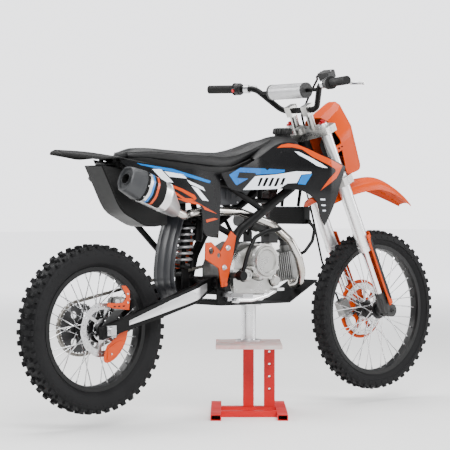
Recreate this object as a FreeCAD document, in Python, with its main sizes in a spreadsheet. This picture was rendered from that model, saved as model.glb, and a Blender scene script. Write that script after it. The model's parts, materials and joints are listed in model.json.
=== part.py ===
import FreeCAD, Part
import math
import os
import Sketcher
from FreeCAD import Placement, Rotation, Vector

# A dirt bike on its paddock stand, in millimetres: +X forward, +Y to the rider's left, +Z up.
# The origin is on the floor, under the middle of the whole object.

doc = FreeCAD.newDocument("dirt_bike")


class Size(float):
    """A number in the sheet's units, with the expression that gives it."""

    def __new__(cls, value, text):
        size = super().__new__(cls, value)
        size.text = text
        return size

    def _join(self, other, sign, result, swap=False):
        mine, theirs = self.text, getattr(other, "text", repr(float(other)))
        first, second = (theirs, mine) if swap else (mine, theirs)
        return Size(result, f"({first} {sign} {second})")

    def __add__(self, other):
        return self._join(other, "+", float(self) + float(other))

    def __radd__(self, other):
        return self._join(other, "+", float(other) + float(self), swap=True)

    def __sub__(self, other):
        return self._join(other, "-", float(self) - float(other))

    def __rsub__(self, other):
        return self._join(other, "-", float(other) - float(self), swap=True)

    def __mul__(self, other):
        return self._join(other, "*", float(self) * float(other))

    def __rmul__(self, other):
        return self._join(other, "*", float(other) * float(self), swap=True)

    def __truediv__(self, other):
        return self._join(other, "/", float(self) / float(other))

    def __neg__(self):
        return Size(-float(self), f"(0 - {self.text})")


# Driving dimensions: alias, value, what it measures
DRIVING = [
    ("lift", 48, "tyres above the floor, on the stand"),
    ("rear_tyre_radius", 295, "over the lugs"),
    ("rear_tyre_width", 96, "over the side lugs"),
    ("front_tyre_radius", 313, "over the lugs"),
    ("front_tyre_width", 74, "over the side lugs"),
    ("rear_rim_radius", 216, "over the flange"),
    ("rear_rim_width", 52, "over the flanges"),
    ("front_rim_radius", 256, "over the flange"),
    ("front_rim_width", 42, "over the flanges"),
    ("rim_depth", 19, "flange tip to the spoke bed"),
    ("pivot_forward", 511, "rear axle to swingarm pivot, level"),
    ("pivot_rise", 145, "swingarm pivot above the rear axle"),
    ("pivot_to_axle", 880, "swingarm pivot to front axle, level"),
    ("rake", 25.5, "steering axis from upright, degrees"),
    ("fork_length", 802, "fork cap to axle, along the leg"),
    ("axle_lead", 18.5, "axle ahead of the leg's centre line"),
    ("stem_offset", 45, "legs ahead of the steering axis"),
    ("leg_spacing", 176, "between the fork legs' centre lines"),
    ("upper_tube_radius", 20, "fork outer tube, between the clamps"),
    ("lower_tube_radius", 24.5, "fork outer tube, below the lower clamp"),
    ("slider_radius", 16.5, "fork inner tube"),
    ("bar_radius", 11, "handlebar tube"),
    ("bar_half_width", 375, "centre to bar end"),
    ("grip_length", 118, "each grip"),
    ("axle_radius", 8, "both axles"),
    ("head_tube_radius", 27, "steering head"),
    ("stem_radius", 13, "steering stem"),
    ("stem_clearance", 0.3, "stem to steering head"),
    ("bearing_clearance", 0.3, "hub to axle"),
    ("spar_radius", 17, "upper frame spars"),
    ("rail_radius", 11, "cradle and seat rails"),
    ("chain_line", 70, "chain to the centre plane"),
    ("rear_disc_radius", 95, "over the waves"),
    ("front_disc_radius", 105, "over the waves"),
    ("disc_thickness", 4, "both discs"),
    ("sprocket_radius", 88, "over the teeth"),
    ("board_width", 242, "stand's top board, across"),
    ("board_length", 330, "stand's top board, fore and aft"),
    ("board_thickness", 14, "stand's top board"),
    ("board_height", 264, "top of the board above the floor"),
    ("stand_width", 278, "over the feet"),
    ("foot_length", 480, "each foot"),
    ("foot_width", 38, "each foot's channel"),
    ("foot_height", 22, "each foot's channel"),
    ("post_width", 40, "square posts"),
    ("post_spacing", 78, "column to guide post"),
    ("pin_hole_radius", 5, "holes in the guide post"),
    ("spacer_radius", 28, "round pipe on the board"),
    ("spacer_flange_radius", 48, "its two flanges"),
    ("skid_drop", 80, "swingarm pivot to the underside of the skid plate"),
    ("lug_height", 12, "rear tyre lugs"),
    ("front_lug_height", 9, "front tyre lugs"),
]

sheet = doc.addObject("Spreadsheet::Sheet", "Sizes")
mm = {}
for row, (alias, value, note) in enumerate(DRIVING, start=1):
    sheet.set(f"A{row}", alias)
    sheet.set(f"B{row}", str(value))
    sheet.set(f"C{row}", note)
    sheet.setAlias(f"B{row}", alias)
    mm[alias] = Size(value, f"Sizes.{alias}")
doc.recompute()

# Datum points, measured from the rear axle (X) and the floor (Z)
rear_axle_z = mm["lift"] + mm["rear_tyre_radius"]
front_axle_z = mm["lift"] + mm["front_tyre_radius"]
wheelbase = mm["pivot_forward"] + mm["pivot_to_axle"]
mid_x = (wheelbase + mm["front_tyre_radius"] - mm["rear_tyre_radius"]) / 2
pivot_x = mm["pivot_forward"]
pivot_z = rear_axle_z + mm["pivot_rise"]
rake = math.radians(mm["rake"])
lean = (math.sin(rake), math.cos(rake))
fork_x = mm["axle_lead"] + mm["stem_offset"]
head_x = wheelbase - mm["fork_length"] * lean[0] - fork_x * lean[1]
head_z = front_axle_z + mm["fork_length"] * lean[1] - fork_x * lean[0]
half_leg = mm["leg_spacing"] / 2

PARTS = {}


# Frames of reference

def at(x, y, z):
    """A point given from the rear axle and the floor."""
    return Vector(x - mid_x, y, z)


def from_pivot(x, y, z):
    """A point given from the swingarm pivot."""
    return at(pivot_x + x, y, pivot_z + z)


def from_head(x, y, z):
    """A point given from the top of the steering axis, in level axes."""
    return at(head_x + x, y, head_z + z)


STEERING = Placement(at(head_x, 0, head_z), Rotation(Vector(0, 1, 0), -mm["rake"]))
REAR_WHEEL = Placement(at(0, 0, rear_axle_z), Rotation())
FRONT_WHEEL = Placement(at(wheelbase, 0, front_axle_z), Rotation())
ALONG_Y = Rotation(Vector(1, 0, 0), -90)


def in_steering(x, y, z):
    """A point on the steering assembly: x ahead of the stem's axis, z up along it."""
    return STEERING.multVec(Vector(x, y, z))


# Ways of making a piece

def keep(label, piece):
    """Name a finished sub-part."""
    piece.Label = label
    PARTS[label] = piece
    return piece


def feature(label, shape):
    """A sub-part whose shape is worked out here from the sheet's values."""
    piece = doc.addObject("Part::Feature", label)
    piece.Shape = shape
    return keep(label, piece)


def origin_plane(body, role):
    return next(item for item in body.Origin.OriginFeatures if item.Role == role)


def bind_point(sketch, geometry, end, value, kind, axis):
    """Fix one coordinate of a sketch point, tied to the sheet when the value comes from it."""
    if abs(value) < 1e-9:
        sketch.addConstraint(Sketcher.Constraint("PointOnObject", geometry, end, axis))
        return
    index = sketch.addConstraint(Sketcher.Constraint(kind, -1, 1, geometry, end, float(value)))
    if isinstance(value, Size):
        sketch.setExpression(f"Constraints[{index}]", value.text)


def add_outline(sketch, points):
    """A closed run of straight lines through the points."""
    first = sketch.GeometryCount
    count = len(points)
    for index, start in enumerate(points):
        end = points[(index + 1) % count]
        line = Part.LineSegment(Vector(start[0], start[1], 0), Vector(end[0], end[1], 0))
        sketch.addGeometry(line)
    for index in range(count):
        following = first + (index + 1) % count
        sketch.addConstraint(Sketcher.Constraint("Coincident", first + index, 2, following, 1))
    for index, (x, y) in enumerate(points):
        bind_point(sketch, first + index, 1, x, "DistanceX", -2)
        bind_point(sketch, first + index, 1, y, "DistanceY", -1)


def add_circle(sketch, x, y, radius):
    """A circle whose centre and radius are fixed."""
    circle = Part.Circle(Vector(x, y, 0), Vector(0, 0, 1), float(radius))
    geometry = sketch.addGeometry(circle)
    bind_point(sketch, geometry, 3, x, "DistanceX", -2)
    bind_point(sketch, geometry, 3, y, "DistanceY", -1)
    index = sketch.addConstraint(Sketcher.Constraint("Radius", geometry, float(radius)))
    if isinstance(radius, Size):
        sketch.setExpression(f"Constraints[{index}]", radius.text)


def add_sketch(body, role, outlines=(), circles=()):
    sketch = body.newObject("Sketcher::SketchObject", body.Name + "_sketch")
    sketch.AttachmentSupport = [(origin_plane(body, role), "")]
    sketch.MapMode = "FlatFace"
    for points in outlines:
        add_outline(sketch, points)
    for circle in circles:
        add_circle(sketch, *circle)
    return sketch


def lathe(name, outlines, placement=Placement(), body=None):
    """A body turned about its own Y axis: outlines hold (radius, y) points."""
    body = body or doc.addObject("PartDesign::Body", name)
    turn = body.newObject("PartDesign::Revolution", name + "_turn")
    turn.Profile = add_sketch(body, "XY_Plane", outlines)
    turn.ReferenceAxis = (origin_plane(body, "Y_Axis"), [""])
    turn.Angle = 360
    body.Placement = placement
    return body


def plate(name, role, outlines, thickness, placement=Placement(), circles=()):
    """A body padded to both sides of one of its own planes."""
    body = doc.addObject("PartDesign::Body", name)
    pad = body.newObject("PartDesign::Pad", name + "_pad")
    pad.Profile = add_sketch(body, role, outlines, circles)
    pad.Midplane = True
    pad.Length = float(thickness)
    if isinstance(thickness, Size):
        pad.setExpression("Length", thickness.text)
    body.Placement = placement
    return body


def box(name, length, width, height, placement):
    """A block with its placement at its lowest corner."""
    block = doc.addObject("Part::Box", name)
    for prop, value in (("Length", length), ("Width", width), ("Height", height)):
        setattr(block, prop, float(value))
        if isinstance(value, Size):
            block.setExpression(prop, value.text)
    block.Placement = placement
    return block


def cylinder(name, radius, height, placement):
    """A round bar that starts at its placement and runs along its Z."""
    bar = doc.addObject("Part::Cylinder", name)
    for prop, value in (("Radius", radius), ("Height", height)):
        setattr(bar, prop, float(value))
        if isinstance(value, Size):
            bar.setExpression(prop, value.text)
    bar.Placement = placement
    return bar


def fuse(name, pieces):
    union = doc.addObject("Part::MultiFuse", name)
    union.Shapes = pieces
    return union


def cut(name, base, tool):
    result = doc.addObject("Part::Cut", name)
    result.Base = base
    result.Tool = tool
    return result


def centred(x, y, z, turn=Rotation()):
    return Placement(Vector(x, y, z), turn)


def route(points, bend):
    """A path of straight runs joined by tangent arcs."""
    edges = []
    last = points[0]
    for index in range(1, len(points) - 1):
        corner = points[index]
        back = (points[index - 1] - corner)
        ahead = (points[index + 1] - corner)
        turn = math.pi - back.getAngle(ahead)
        shortest = min(back.Length, ahead.Length)
        radius = min(bend, 0.45 * shortest / math.tan(turn / 2))
        reach = radius * math.tan(turn / 2)
        back.normalize()
        ahead.normalize()
        start = corner + back * reach
        end = corner + ahead * reach
        inward = (back + ahead).normalize()
        middle = corner + inward * (math.hypot(radius, reach) - radius)
        edges.append(Part.LineSegment(last, start).toShape())
        edges.append(Part.Arc(start, middle, end).toShape())
        last = end
    edges.append(Part.LineSegment(last, points[-1]).toShape())
    return Part.Wire(edges)


def tube(points, radius, bend=60, bore=0):
    """A round bar, or a pipe with a bore, along a bent path."""
    path = route(points, bend)
    start = points[1] - points[0]

    def swept(size):
        ring = Part.Wire(Part.makeCircle(size, points[0], start))
        return path.makePipeShell([ring], True, False)

    solid = swept(float(radius))
    return solid.cut(swept(float(bore))) if bore else solid


def bar(start, end, radius):
    """A straight round bar between two points."""
    run = end - start
    return Part.makeCylinder(float(radius), run.Length, start, run)


def slab(points, normal, thickness):
    """A flat plate: its outline's points, and its thickness along the normal."""
    face = Part.Face(Part.makePolygon(points + [points[0]]))
    return face.extrude(Vector(normal).normalize() * float(thickness))


def oval(centre, across, up, wide, tall):
    """A closed smooth ring, wide along one direction and tall along the other."""
    across = Vector(across).normalize()
    up = Vector(up).normalize()
    steps = 12
    points = []
    for step in range(steps):
        angle = 2 * math.pi * step / steps
        points.append(centre + across * (wide * math.cos(angle)) + up * (tall * math.sin(angle)))
    curve = Part.BSplineCurve()
    curve.interpolate(points, PeriodicFlag=True)
    return Part.Wire(curve.toShape())


def ring(points):
    """A closed straight-sided ring."""
    return Part.makePolygon(points + [points[0]])


def loft(rings, ruled=False):
    return Part.makeLoft(rings, True, ruled)


def joined(shapes):
    first, *rest = shapes
    return first.multiFuse(rest).removeSplitter() if rest else first


def solid_of(triangles):
    """A closed solid from its flat triangles."""
    faces = [Part.Face(Part.makePolygon([a, b, c, a])) for a, b, c in triangles]
    return Part.makeSolid(Part.makeShell(faces))


def skin(rows, offset):
    """A moulded panel: a net of points on its outer face, and the way to its inner face."""
    inner = [[point + offset for point in row] for row in rows]
    triangles = []
    for net in (rows, inner):
        for row, following in zip(net, net[1:]):
            for a, b, c, d in zip(row, row[1:], following[1:], following):
                triangles += [(a, b, c), (a, c, d)]
    for line, back in ((rows[0], inner[0]), (rows[-1], inner[-1]),
                       ([row[0] for row in rows], [row[0] for row in inner]),
                       ([row[-1] for row in rows], [row[-1] for row in inner])):
        for a, b, c, d in zip(line, line[1:], back[1:], back):
            triangles += [(a, b, c), (a, c, d)]
    return solid_of(triangles)


def between(start, end, share):
    return start + (end - start) * share


# Paddock stand: it faces its own way under the bike, so it has a placement of its own

STAND_TURN = 48.5
stand_centre = from_pivot(237, 21, 0)
STAND = Placement(Vector(stand_centre.x, stand_centre.y, 0), Rotation(Vector(0, 0, 1), STAND_TURN))
STAND_BASE_SHIFT = -45


def stand_frame():
    """Two channel feet, a cross bar, a round-the-column sleeve and a pinned guide post."""
    wall = 3
    half = mm["stand_width"] / 2
    length, width, height = mm["foot_length"], mm["foot_width"], mm["foot_height"]
    pieces = []
    for index, side in enumerate((-1, 1)):
        low_y = half - width if side > 0 else -half
        start_x = -length / 2 + STAND_BASE_SHIFT
        outer = box(f"foot_outer_{index}", length, width, height, centred(start_x, low_y, 0))
        hollow = box(f"foot_hollow_{index}", length + 2, width - 2 * wall, height - 2 * wall,
                     centred(start_x - 1, low_y + wall, wall))
        pieces.append(cut(f"foot_{index}", outer, hollow))
    post = mm["post_width"]
    spread = 2 * (half - width)
    pieces.append(box("cross_bar", post + 16, spread, height, centred(-post / 2 - 8, -spread / 2, 0)))
    pieces.append(box("front_bar", post, spread, height, centred(-168, -spread / 2, 0)))
    column_height = mm["board_height"] - mm["board_thickness"] - height
    pieces.append(box("column", post, post, column_height, centred(-post / 2, -post / 2, height)))
    guide = box("guide_outer", post, post, column_height,
                centred(-post / 2, -mm["post_spacing"] - post / 2, height))
    guide_bore = box("guide_bore", post - 2 * wall, post - 2 * wall, column_height,
                     centred(-post / 2 + wall, -mm["post_spacing"] - post / 2 + wall, height))
    post_tube = cut("guide_post", guide, guide_bore)
    holes = []
    for index, drop in enumerate((24, 70, 116, 162)):
        place = Placement(Vector(-post, -mm["post_spacing"], height + column_height - drop),
                          Rotation(Vector(0, 1, 0), 90))
        holes.append(cylinder(f"pin_hole_{index}", mm["pin_hole_radius"], post * 2, place))
    pieces.append(cut("drilled_post", post_tube, fuse("pin_holes", holes)))
    frame = fuse("stand_welded", pieces)
    frame.Placement = STAND
    return keep("stand_frame", frame)


def stand_board():
    length, width, thick = mm["board_length"], mm["board_width"], mm["board_thickness"]
    board = box("board", length, width, thick, Placement())
    start_x = -length / 2 + STAND_BASE_SHIFT
    board.Placement = STAND.multiply(centred(start_x, -width / 2, mm["board_height"] - thick))
    return keep("stand_board", board)


def stand_spacer():
    """A pipe with a flange at each end, between the board and the skid plate."""
    base = mm["board_height"]
    height = pivot_z - mm["skid_drop"] - base
    flange = 8
    bore = mm["spacer_radius"] - 4
    outline = [(bore, 0), (mm["spacer_flange_radius"], 0), (mm["spacer_flange_radius"], flange),
               (mm["spacer_radius"], flange), (mm["spacer_radius"], height - flange),
               (mm["spacer_flange_radius"], height - flange), (mm["spacer_flange_radius"], height),
               (bore, height)]
    place = Placement(Vector(stand_centre.x, stand_centre.y, base), Rotation(Vector(1, 0, 0), 90))
    return keep("stand_spacer", lathe("spacer", [outline], place))


# Frame

def spar_point(share, side):
    """A point on the straight stretch of a spar, from its bend above the pivot to the head."""
    return between(from_pivot(84, 90 * side, 186), from_head(-128, 84 * side, -226), share)


def frame():
    """Head tube, twin spars, pivot bosses, belly plate, engine hangers, shock struts and seat rails."""
    head = bar(in_steering(0, 0, -212), in_steering(0, 0, -42), mm["head_tube_radius"])
    pieces = [head]
    spar, rail = mm["spar_radius"], mm["rail_radius"]
    for side in (-1, 1):
        y = side
        pieces.append(tube([from_pivot(0, 95 * y, -20), from_pivot(34, 95 * y, 100),
                            from_pivot(84, 90 * y, 186), from_head(-128, 84 * y, -226),
                            in_steering(-6, 12 * y, -160)], spar, 90))
        pieces.append(bar(from_pivot(0, 60.3 * y, 0), from_pivot(0, 94 * y, 0), 18))
        side_plate = slab([from_pivot(-20, 90 * y, -70), from_pivot(54, 90 * y, -70),
                           from_pivot(54, 90 * y, -42), from_pivot(20, 90 * y, 30),
                           from_pivot(-20, 90 * y, 20)], (0, y, 0), 8)
        pieces.append(side_plate)
        pieces.append(tube([spar_point(0.49, y), from_head(-417, 68 * y, -217.5),
                            from_head(-917.4, 60 * y, -145.5)], rail, 90))
        pieces.append(tube([from_pivot(66, 88 * y, 172), from_pivot(-76, 42 * y, 252),
                            from_head(-608.4, 64 * y, -189.5)], rail, 40))
        hanger = Part.makeBox(40, 6, 40, from_pivot(155, 40 if y > 0 else -46, 148))
        pieces.append(hanger)
        pieces.append(bar(from_pivot(175, 43 * y, 178), spar_point(0.34, y), 7))
        pieces.append(bar(from_head(-28, 45 * y, -185.5), from_head(-47.3, 45 * y, -290.1), 6))
        pieces.append(bar(from_head(-917.4, 40 * y, -145.5), from_head(-917.4, 40 * y, -121.2), 8))
    pieces.append(Part.makeBox(64, 188, 15.7, from_pivot(0, -94, -75.7)))
    pieces.append(bar(from_head(-917.4, -60, -145.5), from_head(-917.4, 60, -145.5), rail))
    pieces.append(bar(spar_point(0.72, -1), spar_point(0.72, 1), 10))
    cross = between(spar_point(0.72, -1), spar_point(0.72, 1), 0.5)
    pieces.append(bar(cross, Vector(cross.x, 0, head_z - 106.3), 10))
    body = joined(pieces)
    reach = mm["stem_radius"] + mm["stem_clearance"]
    body = body.cut(bar(in_steering(0, 0, -400), in_steering(0, 0, 20), reach))
    body = body.cut(bar(from_pivot(0, -120, 0), from_pivot(0, 120, 0), mm["axle_radius"]))
    return feature("frame", body)


SIDE_PIVOT = (-12, 134.6, 36)


def frame_plates():
    """Orange pivot plates with lightening holes, the pivot bolt, and the side stand's lug and bolt."""
    outline = [(-92, 150), (-66, 152), (-22, 116), (28, 190), (52, 172), (34, 90), (4, -8), (-16, -10),
               (-30, 58), (-94, 92)]
    circles = [(-66, 120, 12), (-30, 104, 9), (12, 130, 9), (-6, 60, 9)]
    pieces = []
    for index, side in enumerate((-1, 1)):
        place = Placement(from_pivot(0, side * 114.8, 0), Rotation())
        pieces.append(plate(f"pivot_plate_{index}", "XZ_Plane", [outline], 5, place, circles))
    bolt = mm["axle_radius"]
    pieces.append(cylinder("pivot_bolt", bolt, 240, Placement(from_pivot(0, -120, 0), ALONG_Y)))
    x, y, z = SIDE_PIVOT
    pieces.append(box("stand_lug", 36, 7.7, 36, Placement(from_pivot(x - 18, 116.6, z - 18), Rotation())))
    pieces.append(cylinder("stand_bolt", bolt, y + 14 - 117, Placement(from_pivot(x, 117, z), ALONG_Y)))
    return keep("frame_plates", fuse("frame_plates_joined", pieces))


def skid_plate():
    """A bent plate under the cradle, turned up in front."""
    thick = 4
    low = -mm["skid_drop"]
    under = [(18, low), (358, low), (503, low + 78)]
    over = [(18, low + thick), (356, low + thick), (501, low + 78 + thick)]
    outline = under + over[::-1]
    place = Placement(from_pivot(0, 0, 0), Rotation())
    return keep("skid_plate", plate("skid", "XZ_Plane", [outline], 150, place))


def footpegs():
    """A folding peg on each side, on a bracket under the cradle."""
    pieces = []
    for side in (-1, 1):
        start = from_pivot(18, 108 * side, -38)
        end = from_pivot(4, 234 * side, -34)
        run = end - start
        peg = Part.makeBox(run.Length, 44, 14)
        angle = math.degrees(math.atan2(run.y, run.x))
        peg.translate(Vector(0, -22, -7))
        peg.Placement = Placement(start, Rotation(Vector(0, 0, 1), angle)).multiply(peg.Placement)
        bracket = Part.makeBox(22, 12, 34, from_pivot(18, 98.3 if side > 0 else -110.3, -62))
        pieces.append(joined([peg, bracket]))
    return feature("footpegs", Part.makeCompound(pieces))


def foot_levers():
    """Brake pedal on the right and gear lever on the left."""
    pedal = tube([from_pivot(51, -122, -60), from_pivot(96, -150, -60), from_pivot(150, -176, -44),
                  from_pivot(182, -186, -26)], 6, 20)
    pad = Part.makeBox(34, 40, 10, from_pivot(172, -206, -26))
    boss = bar(from_pivot(51, -98.3, -60), from_pivot(51, -130, -60), 9)
    lever = tube([from_pivot(104, 58.3, -26), from_pivot(104, 132, -26), from_pivot(232, 152, -16)], 5.5, 12)
    toe = bar(from_pivot(228, 140, -16), from_pivot(228, 182, -16), 8)
    return feature("foot_levers", Part.makeCompound([joined([pedal, pad, boss]), joined([lever, toe])]))


# Swingarm, rear suspension and chain

def swingarm():
    """Two tapered legs, a pivot tube and a cross brace ahead of the tyre."""
    def section(x, y, z, wide, tall):
        return ring([from_pivot(x, y - wide / 2, z - tall / 2), from_pivot(x, y + wide / 2, z - tall / 2),
                     from_pivot(x, y + wide / 2, z + tall / 2), from_pivot(x, y - wide / 2, z + tall / 2)])

    drop = mm["pivot_rise"] / mm["pivot_forward"]
    pieces = []
    for side in (-1, 1):
        stations = [(-2, 48, 22, 44), (-34, 48, 22, 52), (-120, 88, 24, 64), (-330, 93, 24, 56), (-450, 94, 24, 44),
                    (-mm["pivot_forward"] - 34, 94, 24, 42)]
        rings = [section(x, y * side, x * drop, wide, tall) for x, y, wide, tall in stations]
        leg = loft(rings, True)
        slot_start = from_pivot(-mm["pivot_forward"], 70 * side, -mm["pivot_rise"])
        slot_end = from_pivot(-mm["pivot_forward"], 120 * side, -mm["pivot_rise"])
        leg = leg.cut(bar(slot_start, slot_end, mm["axle_radius"]))
        pieces.append(leg)
    pieces.append(bar(from_pivot(0, -59.7, 0), from_pivot(0, 59.7, 0), 25))
    brace_x = -150
    pieces.append(Part.makeBox(34, 176, 44, from_pivot(brace_x, -88, brace_x * drop - 22)))
    for low_y in (-21, 15):
        pieces.append(Part.makeBox(28, 6, 92, from_pivot(brace_x + 30, low_y, brace_x * drop + 6)))
    body = joined(pieces)
    body = body.cut(bar(from_pivot(0, -120, 0), from_pivot(0, 120, 0), mm["axle_radius"]))
    return feature("swingarm", body)


hub_right = 64
hub_left = 75


def rear_axle():
    """Axle with an adjuster block outside each leg."""
    half = 112
    pieces = [bar(at(0, -half, rear_axle_z), at(0, half, rear_axle_z), mm["axle_radius"])]
    for side in (-1, 1):
        low = 106.3 if side > 0 else -112.3
        pieces.append(Part.makeBox(38, 6, 34, at(-19, low, rear_axle_z - 17)))
        nut_start = at(0, 112 * side, rear_axle_z)
        pieces.append(bar(nut_start, at(0, 121 * side, rear_axle_z), 13))
        collar = at(0, (hub_left if side > 0 else hub_right) * side + 0.5 * side, rear_axle_z)
        pieces.append(bar(collar, at(0, 81.7 * side, rear_axle_z), 13))
    return feature("rear_axle", joined(pieces))


shock_low = from_pivot(-106, 0, 34)
shock_high = from_pivot(-80, 0, 250)


def shock_point(distance, y=0):
    run = (shock_high - shock_low).normalize()
    return shock_low + run * distance + Vector(0, y, 0)


def shock():
    """Damper body, shaft and an eye at each end."""
    length = (shock_high - shock_low).Length
    eye_low = bar(shock_low - Vector(0, 14.7, 0), shock_low + Vector(0, 14.7, 0), 15)
    eye_high = bar(shock_high - Vector(0, 30.7, 0), shock_high + Vector(0, 30.7, 0), 15)
    shaft = bar(shock_point(0), shock_point(length), 9)
    damper = bar(shock_point(length * 0.42), shock_point(length - 10), 20)
    seat_low = bar(shock_point(24), shock_point(32), 35)
    seat_high = bar(shock_point(length - 38), shock_point(length - 30), 35)
    reservoir = bar(shock_point(length - 96) + Vector(58, 0, 0), shock_point(length - 8) + Vector(58, 0, 0), 19)
    bridge = bar(shock_point(length - 20), shock_point(length - 20) + Vector(58, 0, 0), 10)
    pieces = [eye_low, eye_high, shaft, damper, seat_low, seat_high, reservoir, bridge]
    return feature("shock", pieces[0].multiFuse(pieces[1:]))


def shock_spring():
    """Coil spring between the two seats."""
    length = (shock_high - shock_low).Length
    wire = 5.0
    low, high = 32.3 + wire, length - 38.3 - wire
    turns = 6
    coil = Part.makeHelix((high - low) / turns, high - low, 29)
    ring_wire = Part.Wire(Part.makeCircle(wire, Vector(29, 0, 0), Vector(0, 1, 0)))
    solid = Part.Wire(coil).makePipeShell([ring_wire], True, True)
    run = shock_high - shock_low
    solid.Placement = Placement(shock_point(low), Rotation(Vector(0, 0, 1), run))
    return feature("shock_spring", solid)


def mud_flap():
    """A curved flap between the shock and the rear tyre."""
    thick = 4
    spine = [(-154.3, -58), (-190, 14), (-178, 134), (-140, 250)]
    front = [(x + thick, z) for x, z in spine]
    outline = spine + front[::-1]
    place = Placement(from_pivot(0, 0, 0), Rotation())
    return keep("mud_flap", plate("flap", "XZ_Plane", [outline], 112, place))


front_sprocket = (80, 28)
front_sprocket_radius = 29


def chain():
    """The chain as one band round both sprockets, with its outer plates fused to it."""
    radius = mm["sprocket_radius"]
    thick, wide, band, plate_half, link = 11, 14, 9, 12, 31.75
    rear = Vector(-mm["pivot_forward"], 0, -mm["pivot_rise"])
    front = Vector(front_sprocket[0], 0, front_sprocket[1])
    run = front - rear
    turn = math.atan2(run.z, run.x)
    lead = math.acos((radius - front_sprocket_radius) / run.Length)
    up, down = turn + lead, turn - lead

    def spot(centre, size, angle):
        return centre + Vector(size * math.cos(angle), 0, size * math.sin(angle))

    def belt(grow):
        rear_r, front_r = radius + grow, front_sprocket_radius + grow
        edges = [Part.LineSegment(spot(rear, rear_r, up), spot(front, front_r, up)).toShape(),
                 Part.Arc(spot(front, front_r, up), spot(front, front_r, turn),
                          spot(front, front_r, down)).toShape(),
                 Part.LineSegment(spot(front, front_r, down), spot(rear, rear_r, down)).toShape(),
                 Part.Arc(spot(rear, rear_r, down), spot(rear, rear_r, turn + math.pi),
                          spot(rear, rear_r, up)).toShape()]
        return Part.Face(Part.Wire(edges))

    middle = 0.5 * (thick + 1)
    rear_r, front_r = float(radius) + middle, front_sprocket_radius + middle
    straight = (spot(front, front_r, up) - spot(rear, rear_r, up)).Length
    stretches = [straight, 2 * lead * front_r, straight, (2 * math.pi - 2 * lead) * rear_r]

    def pin(distance):
        """A pin's centre, a distance along the loop from where the top run leaves the rear sprocket."""
        distance %= sum(stretches)
        for index, length in enumerate(stretches):
            if distance < length:
                break
            distance -= length
        if index == 0:
            return between(spot(rear, rear_r, up), spot(front, front_r, up), distance / straight)
        if index == 1:
            return spot(front, front_r, up - distance / front_r)
        if index == 2:
            return between(spot(front, front_r, down), spot(rear, rear_r, down), distance / straight)
        return spot(rear, rear_r, down - distance / rear_r)

    band_solid = belt(thick - 1.5).cut(belt(1.0)).extrude(Vector(0, band, 0))
    band_solid.translate(Vector(0, -band / 2, 0))
    pieces = [band_solid]
    count = round(sum(stretches) / link)
    for index in range(count):
        first = pin(index * sum(stretches) / count)
        second = pin((index + 0.5) * sum(stretches) / count)
        along = (second - first).normalize()
        across = along.cross(Vector(0, 1, 0)) * (thick / 2 - 1)
        centre = between(first, second, 0.5)
        corners = [centre + along * plate_half + across, centre - along * plate_half + across,
                   centre - along * plate_half - across, centre + along * plate_half - across]
        for side in (-1, 1):
            start = Vector(0, side * (band / 2 - 0.5), 0)
            pieces.append(slab([corner + start for corner in corners], (0, side, 0), (wide - band) / 2 + 0.5))
    solid = pieces[0].multiFuse(pieces[1:])
    solid.translate(from_pivot(0, mm["chain_line"], 0))
    return feature("chain", solid)


def rear_caliper():
    """Caliper over the disc, on a hanger from the swingarm."""
    disc_y = -60
    block = Part.makeBox(58, 44, 46, at(34, disc_y - 20, rear_axle_z + 66))
    slot = Part.makeBox(70, 12, 60, at(28, disc_y - 6, rear_axle_z + 46))
    hanger = Part.makeBox(70, 6, 74, at(8, -80, rear_axle_z))
    body = joined([block, hanger]).cut(slot)
    body = body.cut(bar(at(0, -120, rear_axle_z), at(0, 0, rear_axle_z), 14))
    return feature("rear_caliper", body)


def rear_guards():
    """Orange caliper guard and the lower disc guard, on the right leg."""
    upper = [(8, 84), (62, 100), (92, 92), (100, 128), (72, 152), (48, 126), (8, 104)]
    lower = [(2, -52), (44, -20), (72, 4), (92, 2), (80, -44), (44, -92), (4, -112), (-14, -100)]
    place = Placement(at(0, -81, rear_axle_z), Rotation())
    pieces = [plate("caliper_guard", "XZ_Plane", [upper], 1.4, place),
              plate("disc_guard_rear", "XZ_Plane", [lower], 1.4, place)]
    return keep("rear_guards", fuse("rear_guards_pair", pieces))


# Engine: a single with its cylinder lying forward

def crankcase():
    outline = [(62, -44), (240, -48), (292, -12), (292, 92), (252, 132), (140, 150), (66, 116), (42, 60), (42, -10)]
    place = Placement(from_pivot(0, 0, 0), Rotation())
    return keep("crankcase", plate("case", "XZ_Plane", [outline], 116, place))


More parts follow.
